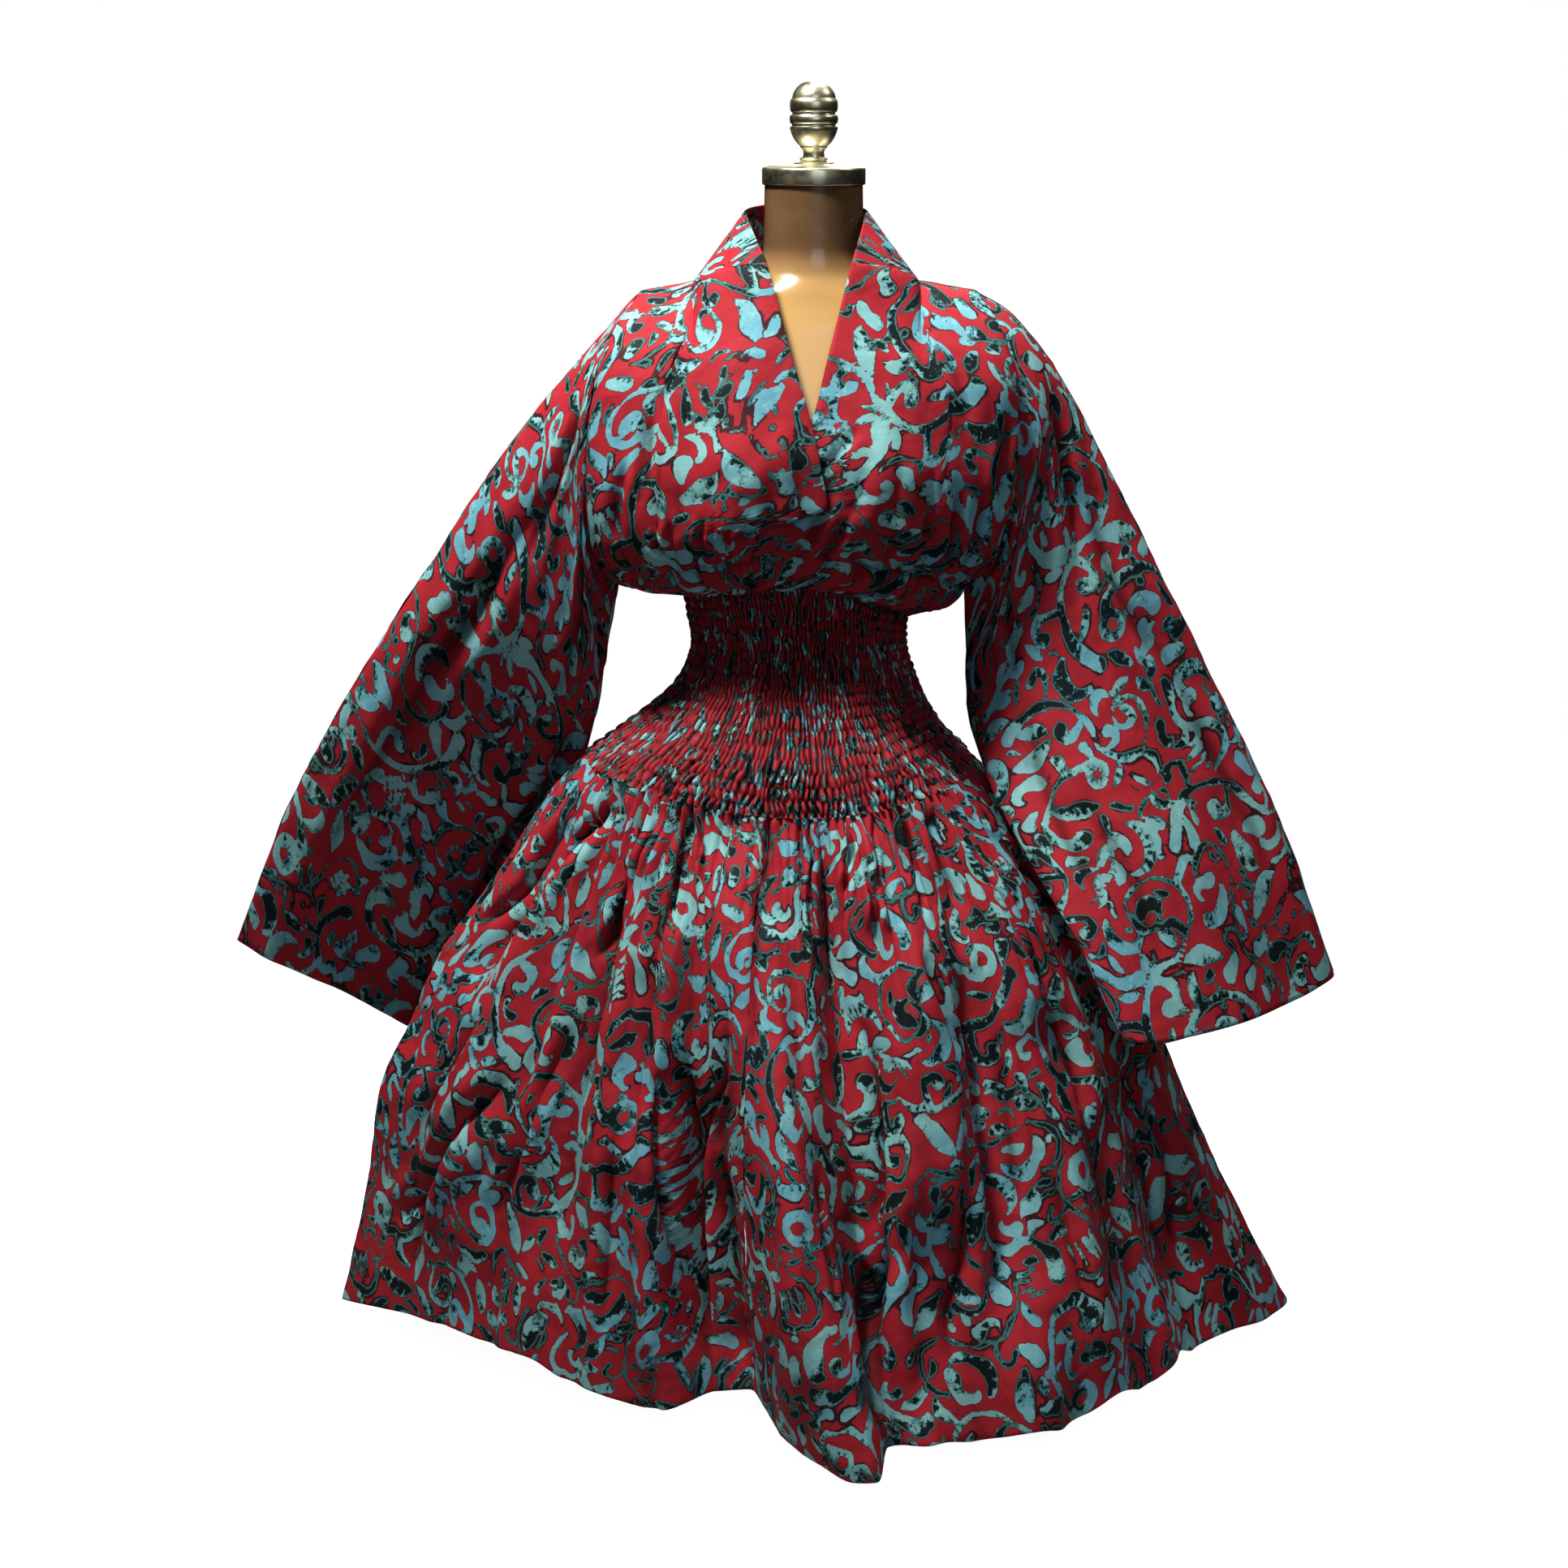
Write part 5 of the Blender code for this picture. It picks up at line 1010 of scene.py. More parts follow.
def bodice_point(row, back, x=None, x_share=None):
    """A point of the bodice at this x, or at this share of its section, from -1 to 1."""
    section = section_at(row)
    if x_share is None:
        x_share = (x - section.middle) / section.half
    x_share = np.clip(x_share, -1.0, 1.0)
    x = section.middle + section.half * x_share
    round_in = np.sqrt(np.maximum(1 - x_share**2, 0.0))
    under = UNDERARM_HEIGHT + CHEST_RISE * round_in**2

    angle = waist_angle(x_share, back)
    seam = smock_top(angle)
    waist = ring_point(SMOCK_RINGS, angle, seam)
    rise = np.clip(row + 1, 0.0, 1.0)
    reach = section.back if back else -section.front
    blend = ease(-1, WAIST_BLEND_END, row)
    low_x = waist[..., 0] + (x - waist[..., 0]) * blend
    low_y = waist[..., 1] + (reach * round_in - waist[..., 1]) * blend
    low_z = seam + (under - seam) * rise**SIDE_SEAM_BOW

    top_depth, top_z = top_edge(x, back, row)
    high_z = under + (top_z - under) * row
    middle, edge = section.front, section.front_side
    if back:
        middle, edge = section.back, section.back_side
    chest = edge + (middle - edge) * round_in**CHEST_SQUARE
    if not back:
        chest = chest + section.bust * np.exp(-(((np.abs(x) - BUST_CENTRE) / BUST_WIDTH) ** 2))
    below = np.clip((top_z - high_z) / SHOULDER_ROUND, 0.0, 1.0)
    rounding = np.sqrt(np.maximum(1 - (1 - below) ** 2, 0.0))
    depth = top_depth * (1 - rounding) + chest * rounding
    high_y = depth if back else -depth

    upper = np.broadcast_to(row >= 0, low_x.shape)
    return np.stack(
        [np.where(upper, x, low_x), np.where(upper, high_y, low_y), np.where(upper, high_z, low_z)], -1
    )


def waist_angle(x_share, back):
    """The angle at which the smocking's top has this share of its width."""
    ahead = read(SMOCK_RINGS, "z", "back" if back else "front", UNDERARM_HEIGHT)
    left = read(SMOCK_RINGS, "z", "left", UNDERARM_HEIGHT)
    right = read(SMOCK_RINGS, "z", "right", UNDERARM_HEIGHT)
    side = np.where(x_share > 0, right, left)
    angle = np.arctan2(side * x_share, ahead * np.sqrt(np.maximum(1 - x_share**2, 0.0)))
    return np.pi - angle if back else angle


def bodice_rows():
    """Rows of the bodice's grids, from the waist seam up."""
    below = np.linspace(-1.0, 0.0, 15)[:-1]
    above = (1 - np.cos(np.linspace(0.0, np.pi, int(0.36 / BODICE_SPACING)))) / 2
    return np.concatenate([below, above])[:, None]


def wrap_edge(side, row):
    """x of a front's free edge in each row."""
    under = UNDERARM_HEIGHT + CHEST_RISE
    low = WRAP_FOOT_LOW + WRAP_FOOT_RISE * (row + 1)
    z = np.where(row < 0, low, under + (COLLAR_FRONT_HEIGHT - under) * row)
    return read(WRAP_EDGES, "z", "over" if side < 0 else "under", z)


def neck_column(section, side, row):
    neck = section.middle + side * section.half * NECK_SHARE
    return neck + (NECKLINE_MIDDLE + side * NECKLINE_HALF - neck) * ease(NECK_COLUMN_TURNS, 1.0, row)


def collar_start(side, share):
    """Angle of the collar's front edge on one side."""
    seam = read(WRAP_EDGES, "z", "over" if side < 0 else "under", COLLAR_FRONT_HEIGHT)
    top = COLLAR_TOP_OVER if side < 0 else COLLAR_TOP_UNDER
    middle = NECKLINE_MIDDLE + (COLLAR_TOP_MIDDLE - NECKLINE_MIDDLE) * share
    half = NECKLINE_HALF + (COLLAR_TOP_HALF - NECKLINE_HALF) * share
    sine = np.clip((seam + (top - seam) * share - middle) / half, -1, 1)
    return np.minimum(np.abs(np.arcsin(sine)), COLLAR_WIDEST_START)


def front_sheet(side):
    """A front of the wrap bodice, from the waist seam to the collar and shoulder seams."""
    row = bodice_rows()
    section = section_at(row)
    edge = wrap_edge(side, row)
    end = section.middle + side * section.half
    neck = neck_column(section, side, row)
    first = collar_start(side, 0.0)
    inner = int(0.14 / BODICE_SPACING)
    turn = np.linspace(first, np.pi / 2, inner + 1)[None, :]
    share = (np.sin(turn) - np.sin(first)) / (1 - np.sin(first))
    outer = np.sin(np.linspace(0.0, np.pi / 2, int(0.11 / BODICE_SPACING) + 1))[None, 1:]
    x = np.concatenate([edge + (neck - edge) * share, neck + (end - neck) * outer], axis=1)
    points = bodice_point(row, False, x=x)
    points[0, :, 2] += WAIST_SEAM_GAP
    if side < 0:
        points = points[:, ::-1]
        normals = facing(points) * (1, 1, 0)
        under = read(WRAP_EDGES, "z", "under", points[..., 2])
        lap = ease(under - LAP_STARTS, under - LAP_FULL, points[..., 0])
        points = points + unit(normals) * (lap * LAP_LIFT)[..., None]
    return points


def back_sheet():
    row = bodice_rows()
    section = section_at(row)
    right_neck, left_neck = neck_column(section, 1, row), neck_column(section, -1, row)
    right_end, left_end = section.middle + section.half, section.middle - section.half
    out = np.sin(np.linspace(0.0, np.pi / 2, int(0.11 / BACK_SPACING) + 1))[None, :]
    right = (right_neck + (right_end - right_neck) * out)[:, ::-1]
    left = left_neck + (left_end - left_neck) * out
    turn = np.linspace(0.0, np.pi, int(0.25 / BACK_SPACING))[None, 1:-1]
    middle, half = (right_neck + left_neck) / 2, (right_neck - left_neck) / 2
    x = np.concatenate([right, middle + half * np.cos(turn), left], axis=1)
    points = bodice_point(row, True, x=x)
    points[0, :, 2] += WAIST_SEAM_GAP
    return points


def collar_sheet():
    """The standing collar, from its right front edge round the back to its left one."""
    share = np.linspace(0.0, 1.0, int(0.085 / BODICE_SPACING) + 1)[:, None]
    t = np.linspace(0.0, 1.0, int(0.52 / BODICE_SPACING))[None, :]
    first = collar_start(1, share)
    last = 2 * np.pi - collar_start(-1, share)
    return neckline_point(first + (last - first) * t, share)


def armhole_loop(side, back, count):
    rise = (1 - np.cos(np.linspace(0.0, np.pi, count))) / 2
    return bodice_point(rise[:, None], back, x_share=np.full((count, 1), float(side)))[:, 0]


def sleeve_frame(stations, share):
    """Middle, half-span from underarm to shoulder fold, and backward direction of a section."""
    here = [float(read(stations, "share", n, share)) for n in Station._fields[1:]]
    later = [float(read(stations, "share", n, min(share + 0.02, 1))) for n in Station._fields[1:7]]
    sooner = [float(read(stations, "share", n, max(share - 0.02, 0))) for n in Station._fields[1:7]]
    top, low = np.array(here[:3]), np.array(here[3:6])
    run = np.array(later[:3]) + later[3:] - np.array(sooner[:3]) - sooner[3:]
    span = (top - low) / 2
    back = np.cross(unit(run), unit(span))
    back = -back if back[1] < 0 else back
    return (top + low) / 2, span, unit(back), unit(run) * here[7], here[6]


def sleeve_sheet(stations, side, back):
    """The front or back of a sleeve, its rows running from underarm to shoulder fold."""
    count = int(0.38 / SLEEVE_SPACING)
    loop = armhole_loop(side, back, count)
    middle, span, rearward, _, _ = sleeve_frame(stations, 0.0)
    away = loop - middle
    rise, thick = away @ span / (span @ span), away @ rearward
    rest = away - rise[:, None] * span - thick[:, None] * rearward
    t = np.linspace(0.0, 1.0, count)
    turn = np.pi * (1 - t)
    way = 1 if back else -1
    lines = []
    for share in np.linspace(0.0, 1.0, int(0.86 / SLEEVE_SPACING)):
        middle, span, rearward, sag, half = sleeve_frame(stations, share)
        loose = ease(0.0, SLEEVE_LOOSE_FROM, share)
        puff = half * np.sin(turn) * way
        for drape in SLEEVE_DRAPES:
            drift = 0.03 * math.sin(share * 5 + drape.across * 9)
            bump = np.exp(-(((t - drape.across - drift) / drape.width) ** 2))
            puff = puff + way * drape.depth * ease(drape.begin, 1.0, share) * bump
        points = middle + span * (rise + (np.cos(turn) - rise) * loose)[:, None]
        points = points + rearward * (thick + (puff - thick) * loose)[:, None]
        points = points + rest * (1 - loose) + sag * np.sin(turn)[:, None]
        points[(0, -1), :] += rearward * SEAM_GAP / 2 * way
        lines.append(points)
    lines = np.array(lines)
    lines[0] = loop + (side * SEAM_GAP / 2, 0.0, 0.0)
    if (side > 0) == back:
        lines = lines[::-1]
    return lines.transpose(1, 0, 2)


# Shader groups


def add(tree, kind, sockets=None, **settings):
    """Adds a node with its settings, its inputs given as values or as other outputs."""
    made = tree.nodes.new(kind)
    for name, value in settings.items():
        setattr(made, name, value)
    for key, value in (sockets or {}).items():
        if isinstance(value, bpy.types.NodeSocket):
            tree.links.new(value, made.inputs[key])
        else:
            made.inputs[key].default_value = value
    return made


def calc(tree, operation, *values):
    """The outcome of a sum on one to three values."""
    return add(tree, "ShaderNodeMath", dict(enumerate(values)), operation=operation).outputs[0]


def spread(tree, value, low, high, to_low=0.0, to_high=1.0):
    """The value moved evenly from one range into another, and held inside it."""
    sockets = {"Value": value, "From Min": low, "From Max": high, "To Min": to_low, "To Max": to_high}
    return add(tree, "ShaderNodeMapRange", sockets, interpolation_type="SMOOTHSTEP").outputs[0]


def blend(tree, factor, first, second, way="MIX"):
    sockets = {0: factor, 6: first, 7: second}
    return add(tree, "ShaderNodeMix", sockets, data_type="RGBA", blend_type=way).outputs[2]


def grain(tree, where, scale, detail=2.0, roughness=0.5, distortion=0.0, axes="3D"):
    """Uneven values from 0 to 1, at this many cells a metre."""
    sockets = {
        "Vector": where, "Scale": scale, "Detail": detail,
        "Roughness": roughness, "Distortion": distortion,
    }
    return add(tree, "ShaderNodeTexNoise", sockets, noise_dimensions=axes).outputs["Fac"]


def stretched(tree, where, across, along, turn=0.0):
    sockets = {"Vector": where, "Scale": (across, along, 1.0), "Rotation": (0.0, 0.0, turn)}
    return add(tree, "ShaderNodeMapping", sockets).outputs[0]


def new_group(name, inputs, outputs):
    """A shader group with named sockets, as its tree, its inputs and its outputs."""
    tree = bpy.data.node_groups.new(name, "ShaderNodeTree")
    for label, kind, value in inputs:
        socket = tree.interface.new_socket(label, in_out="INPUT", socket_type=f"NodeSocket{kind}")
        if value is not None:
            socket.default_value = value
    for label, kind in outputs:
        tree.interface.new_socket(label, in_out="OUTPUT", socket_type=f"NodeSocket{kind}")
    ends = tree.nodes.new("NodeGroupInput").outputs, tree.nodes.new("NodeGroupOutput").inputs
    return tree, *ends


def wax_print_group():
    """Dyes of the print: a veined red ground, and motifs part covered by black resist marks."""
    tree, given, made = new_group(
        "Wax print",
        (
            ("Cloth", "Vector", None), ("Distance", "Float", 0.0), ("Side", "Float", 0.0),
            ("Run", "Float", 0.0),
            ("Ground", "Color", (0.54, 0.028, 0.044, 1)), ("Light", "Color", (0.29, 0.66, 0.68, 1)),
            ("Cool", "Color", (0.18, 0.52, 0.66, 1)), ("Deep", "Color", (0.014, 0.12, 0.105, 1)),
            ("Ink", "Color", (0.008, 0.015, 0.018, 1)),
        ),
        (("Colour", "Color"), ("Ink", "Float"), ("Motif", "Float")),
    )
    cloth = given["Cloth"]
    wobble = calc(tree, "SUBTRACT", grain(tree, cloth, 190.0, 3.0), 0.5)
    swell = calc(tree, "SUBTRACT", grain(tree, cloth, 32.0, 1.0), 0.5)
    distance = calc(tree, "MULTIPLY_ADD", wobble, 0.0034, given["Distance"])
    distance = calc(tree, "MULTIPLY_ADD", swell, 0.0085, distance)
    inside = spread(tree, distance, 0.0004, -0.0003)
    heart = spread(tree, distance, -0.0009, -0.0020)
    outline = spread(tree, grain(tree, cloth, 17.0, 2.0), 0.50, 0.66, 0.0005, 0.0034)
    past = calc(tree, "SUBTRACT", distance, outline)
    rim = spread(tree, past, 0.0005, -0.0003)

    patch = spread(tree, grain(tree, cloth, 15.0, 2.0), 0.38, 0.62, -0.95, 0.80)
    blotch = calc(tree, "SUBTRACT", grain(tree, cloth, 115.0, 3.0, 0.62), 0.5)
    crackle = calc(tree, "SUBTRACT", grain(tree, cloth, 340.0, 2.0, 0.7), 0.5)
    bars = calc(tree, "SINE", calc(tree, "MULTIPLY", given["Run"], 2 * math.pi / 0.0095))
    striped = spread(tree, grain(tree, cloth, 12.0, 1.0), 0.50, 0.60, 0.0, 0.40)
    shade = calc(tree, "MULTIPLY_ADD", given["Side"], 0.50, patch)
    shade = calc(tree, "MULTIPLY_ADD", blotch, 3.0, shade)
    shade = calc(tree, "MULTIPLY_ADD", crackle, 1.6, shade)
    shade = calc(tree, "MULTIPLY_ADD", bars, striped, shade)
    ink = calc(tree, "MULTIPLY", spread(tree, shade, 0.10, 0.30), heart)
    deep = spread(tree, shade, -0.30, 0.18)
    hue = spread(tree, grain(tree, cloth, 6.5, 2.0), 0.44, 0.60)
    light = blend(tree, hue, given["Light"], given["Cool"])
    pale = spread(tree, grain(tree, cloth, 95.0, 2.0, 0.7), 0.50, 0.72, 0.0, 0.40)
    light = blend(tree, pale, light, (0.52, 0.86, 0.86, 1))
    motif = blend(tree, calc(tree, "MULTIPLY", deep, 0.80), light, given["Deep"])
    motif = blend(tree, ink, motif, given["Ink"])

    dye = spread(tree, grain(tree, cloth, 18.0, 2.0, 0.6), 0.25, 0.75)
    darker = blend(tree, 0.22, given["Ground"], (0.14, 0.006, 0.016, 1))
    ground = blend(tree, dye, darker, given["Ground"])
    cells = add(
        tree, "ShaderNodeTexVoronoi", {"Vector": cloth, "Scale": 55.0},
        feature="DISTANCE_TO_EDGE", voronoi_dimensions="2D",
    ).outputs["Distance"]
    vein = spread(tree, cells, 0.030, 0.012)
    where = spread(tree, grain(tree, cloth, 14.0, 2.0), 0.56, 0.66, 0.0, 0.5)
    ground = blend(tree, calc(tree, "MULTIPLY", vein, where), ground, given["Ink"])

    colour = blend(tree, calc(tree, "MULTIPLY", rim, 0.90), ground, given["Ink"])
    colour = blend(tree, inside, colour, motif)
    tree.links.new(colour, made["Colour"])
    tree.links.new(calc(tree, "MAXIMUM", calc(tree, "MULTIPLY", ink, inside), rim), made["Ink"])
    tree.links.new(inside, made["Motif"])
    return tree


def cotton_group():
    """Plain-woven cotton: its threads, slubs and soft crumple as heights, and its wear."""
    tree, given, made = new_group(
        "Cotton weave",
        (("Cloth", "Vector", None), ("Threads", "Float", 1500.0)),
        (("Threads", "Float"), ("Crumple", "Float"), ("Wear", "Float")),
    )
    cloth = given["Cloth"]
    axes = add(tree, "ShaderNodeSeparateXYZ", {"Vector": cloth}).outputs
    turns = calc(tree, "MULTIPLY", given["Threads"], 2 * math.pi)
    warp = calc(tree, "SINE", calc(tree, "MULTIPLY", axes["X"], turns))
    weft = calc(tree, "SINE", calc(tree, "MULTIPLY", axes["Y"], turns))
    slub = grain(tree, stretched(tree, cloth, 900.0, 60.0), 1.0, 1.0, axes="2D")
    threads = calc(tree, "MULTIPLY_ADD", warp, weft, slub)
    tree.links.new(threads, made["Threads"])
    tree.links.new(grain(tree, cloth, 46.0, 3.0, 0.55, axes="2D"), made["Crumple"])
    tree.links.new(spread(tree, grain(tree, cloth, 9.0, 2.0, 0.65), 0.42, 0.75), made["Wear"])
    return tree


def polish_group():
    """Hand marks and fine turning lines on a polished or painted surface."""
    tree, given, made = new_group(
        "Polish marks",
        (("Place", "Vector", None), ("Marks", "Float", 60.0), ("Lines", "Float", 900.0)),
        (("Smear", "Float"), ("Lines", "Float"), ("Dust", "Float")),
    )
    smear = grain(tree, given["Place"], given["Marks"], 4.0, 0.6, 0.5)
    axes = add(tree, "ShaderNodeSeparateXYZ", {"Vector": given["Place"]}).outputs
    rings = add(tree, "ShaderNodeCombineXYZ", {"Z": calc(tree, "MULTIPLY", axes["Z"], given["Lines"])})
    tree.links.new(spread(tree, smear, 0.35, 0.70), made["Smear"])
    tree.links.new(grain(tree, rings.outputs[0], 1.0, 2.0), made["Lines"])
    tree.links.new(spread(tree, grain(tree, given["Place"], 420.0, 2.0), 0.62, 0.74), made["Dust"])
    return tree


def new_material(name, roughness=0.5, **values):
    """A material with its tree and its Principled shader, whose plain values are set here."""
    material = bpy.data.materials.new(name)
    material.use_nodes = True
    shader = material.node_tree.nodes["Principled BSDF"]
    shader.inputs["Roughness"].default_value = roughness
    for label, value in values.items():
        shader.inputs[label.replace("_", " ")].default_value = value
    return material, material.node_tree, shader


def use_group(tree, group, sockets):
    return add(tree, "ShaderNodeGroup", sockets, node_tree=group).outputs


def printed_cotton(wax_print, cotton):
    material, tree, shader = new_material("printed_cotton_cloth", Specular_IOR_Level=0.12)
    cloth = add(tree, "ShaderNodeUVMap", uv_map="cloth").outputs["UV"]
    distance = add(tree, "ShaderNodeAttribute", attribute_name="motif_distance").outputs["Fac"]
    side = add(tree, "ShaderNodeAttribute", attribute_name="motif_side").outputs["Fac"]
    run = add(tree, "ShaderNodeAttribute", attribute_name="motif_run").outputs["Fac"]
    placed_by = {"Cloth": cloth, "Distance": distance, "Side": side, "Run": run}
    dyes = use_group(tree, wax_print, placed_by)
    weave = use_group(tree, cotton, {"Cloth": cloth})
    rubbed = calc(tree, "MULTIPLY", weave["Wear"], 0.10)
    worn = blend(tree, rubbed, dyes["Colour"], (0.75, 0.62, 0.58, 1), "SOFT_LIGHT")
    behind = add(tree, "ShaderNodeNewGeometry").outputs["Backfacing"]
    # painted shade: the colour darkens towards near-black in the slits of the smocking and in the folds
    # of the cloth
    painted_shade = add(tree, "ShaderNodeAttribute", attribute_name="painted_shade").outputs["Fac"]
    slit_shaded = blend(tree, calc(tree, "MULTIPLY", painted_shade, 0.92), worn, (0.012, 0.003, 0.004, 1))
    dulled = blend(tree, calc(tree, "MULTIPLY", behind, 0.35), slit_shaded, (0.10, 0.02, 0.025, 1))
    tree.links.new(dulled, shader.inputs["Base Color"])
    rough = calc(tree, "MULTIPLY_ADD", weave["Wear"], 0.14, 0.56)
    tree.links.new(calc(tree, "MULTIPLY_ADD", dyes["Ink"], -0.08, rough), shader.inputs["Roughness"])
    soft = add(tree, "ShaderNodeBump", {"Height": weave["Crumple"], "Distance": 0.0016, "Strength": 0.55})
    fine = add(
        tree, "ShaderNodeBump",
        {"Height": weave["Threads"], "Distance": 0.00012, "Strength": 0.35, "Normal": soft.outputs[0]},
    )
    tree.links.new(fine.outputs[0], shader.inputs["Normal"])
    return material


def bumped(tree, shader, height, distance, strength):
    sockets = {"Height": height, "Distance": distance, "Strength": strength}
    bump = add(tree, "ShaderNodeBump", sockets)
    tree.links.new(bump.outputs[0], shader.inputs["Normal"])


def form_lacquer(polish):
    """Glossy skin-gold lacquer, with painted shade: browner towards the top of the neck."""
    material, tree, shader = new_material(
        "form_lacquer", Coat_Weight=0.7, Coat_Roughness=0.08, Specular_IOR_Level=0.55
    )
    place = add(tree, "ShaderNodeTexCoord").outputs["Object"]
    marks = use_group(tree, polish, {"Place": place, "Marks": 24.0})
    height = add(tree, "ShaderNodeSeparateXYZ", {"Vector": place}).outputs["Z"]
    # painted shade: the lacquer turns dark brown towards the top of the neck
    uneven_height = calc(tree, "MULTIPLY_ADD", grain(tree, place, 12.0, 2.0), 0.02, height)
    upper = spread(tree, uneven_height, 1.205, 1.300)
    colour = blend(tree, upper, (0.78, 0.47, 0.16, 1), (0.185, 0.098, 0.046, 1))
    colour = blend(tree, calc(tree, "MULTIPLY", marks["Smear"], 0.05), colour, (0.85, 0.62, 0.32, 1))
    tree.links.new(colour, shader.inputs["Base Color"])
    rough = calc(tree, "MULTIPLY_ADD", marks["Smear"], 0.08, 0.20)
    tree.links.new(calc(tree, "MULTIPLY_ADD", marks["Dust"], 0.10, rough), shader.inputs["Roughness"])
    bumped(tree, shader, grain(tree, place, 160.0), 0.0002, 0.2)
    return material


def turned_brass(polish):
    material, tree, shader = new_material("turned_brass", Metallic=1.0)
    place = add(tree, "ShaderNodeTexCoord").outputs["Object"]
    marks = use_group(tree, polish, {"Place": place, "Marks": 70.0, "Lines": 1400.0})
    colour = blend(tree, marks["Smear"], (1.0, 0.96, 0.74, 1), (0.90, 0.82, 0.54, 1))
    tree.links.new(colour, shader.inputs["Base Color"])
    rough = calc(tree, "MULTIPLY_ADD", marks["Smear"], 0.12, 0.24)
    tree.links.new(calc(tree, "MULTIPLY_ADD", marks["Lines"], 0.08, rough), shader.inputs["Roughness"])
    bumped(tree, shader, marks["Lines"], 0.00006, 0.4)
    return material


def satin_steel(polish):
    material, tree, shader = new_material("satin_black_steel", Coat_Weight=0.15)
    place = add(tree, "ShaderNodeTexCoord").outputs["Object"]
    marks = use_group(tree, polish, {"Place": place, "Marks": 30.0, "Lines": 500.0})
    colour = blend(tree, marks["Smear"], (0.020, 0.020, 0.022, 1), (0.034, 0.034, 0.037, 1))
    colour = blend(tree, calc(tree, "MULTIPLY", marks["Dust"], 0.35), colour, (0.20, 0.19, 0.18, 1))
    tree.links.new(colour, shader.inputs["Base Color"])
    tree.links.new(calc(tree, "MULTIPLY_ADD", marks["Smear"], 0.16, 0.34), shader.inputs["Roughness"])
    bumped(tree, shader, grain(tree, place, 900.0), 0.0001, 0.3)
    return material


# Objects


def new_mesh(name, points, faces):
    """A mesh of four-sided faces, all shaded smooth."""
    mesh = bpy.data.meshes.new(name)
    mesh.vertices.add(len(points))
    mesh.vertices.foreach_set("co", np.asarray(points, np.float32).ravel())
    mesh.loops.add(faces.size)
    mesh.loops.foreach_set("vertex_index", faces.ravel().astype(np.int32))
    mesh.polygons.add(len(faces))
    mesh.polygons.foreach_set("loop_start", np.arange(0, faces.size, 4, dtype=np.int32))
    mesh.update(calc_edges=True)
    mesh.validate()
    mesh.shade_smooth()
    return mesh


def new_piece(name, mesh, material, node):
    """Puts a piece on the form's body in place of its CAD node."""
    mesh.materials.append(material)
    piece = bpy.data.objects.new(name, mesh)
    bpy.context.scene.collection.objects.link(piece)
    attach(piece, "root")
    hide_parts(node)
    return piece


def grid_faces(rows, columns, closed=False):
    index = np.arange(rows * columns).reshape(rows, columns)
    if closed:
        index = np.concatenate([index, index[:, :1]], axis=1)
    corners = (index[:-1, :-1], index[:-1, 1:], index[1:, 1:], index[1:, :-1])
    return np.stack(corners, -1).reshape(-1, 4)


def set_values(mesh, name, values):
    """Keeps a value at each point of the mesh, for its material."""
    values = np.asarray(values, np.float32).ravel()
    mesh.attributes.new(name, "FLOAT", "POINT").data.foreach_set("value", values)


def lay_cloth(node, grid, lay, tile, material, painted_shade, slit_shaded):
    """Makes one piece of cloth, with the print where the maker laid the pattern piece."""
    turn = math.radians(lay.turn)
    across = grid.across * math.cos(turn) - grid.along * math.sin(turn) + lay.across
    along = grid.across * math.sin(turn) + grid.along * math.cos(turn) + lay.along
    rows, columns = grid.across.shape
    mesh = new_mesh(node + "_cloth", grid.points.reshape(-1, 3), grid_faces(rows, columns))
    drift = 0.0040 * uneven(across, along, 0.026, 61), 0.0040 * uneven(across, along, 0.028, 62)
    across, along = across + drift[0], along + drift[1]
    # the smocked waist's print: thinner motifs, for motifs lost in the slits, and more ink as painted
    # shade
    changed = {"motif_distance": SLIT_THINNING, "motif_side": SMOCK_SHADE_INK} if slit_shaded else {}
    for name, part in zip(("motif_distance", "motif_side", "motif_run"), tile):
        set_values(mesh, name, read_tile(part, across, along) + changed.get(name, 0.0))
    corner = np.empty(len(mesh.loops), np.int32)
    mesh.loops.foreach_get("vertex_index", corner)
    places = np.stack([across.ravel()[corner], along.ravel()[corner]], 1).astype(np.float32)
    mesh.uv_layers.new(name="cloth").uv.foreach_set("vector", places.ravel())
    # painted shade in the smock's slits and in the folds of the other pieces, kept for the cloth's colour
    set_values(mesh, "painted_shade", painted_shade)
    return new_piece(node + "_cloth", mesh, material, node)


def turned_piece(name, profile, foot, node, material, steps=96):
    """A round piece from its (radius, height) profile, closed at both ends."""
    profile = np.array(((0.0001, profile[0][1]),) + tuple(profile) + ((0.0001, profile[-1][1]),))
    angle = np.linspace(0, 2 * np.pi, steps, endpoint=False)
    radius, height = profile[:, :1], profile[:, 1:]
    points = np.stack(
        np.broadcast_arrays(radius * np.cos(angle), radius * np.sin(angle), foot + height), -1
    )
    mesh = new_mesh(name, points.reshape(-1, 3), grid_faces(len(profile), steps, closed=True))
    mesh.set_sharp_from_angle(angle=math.radians(48))
    return new_piece(name, mesh, material, node)


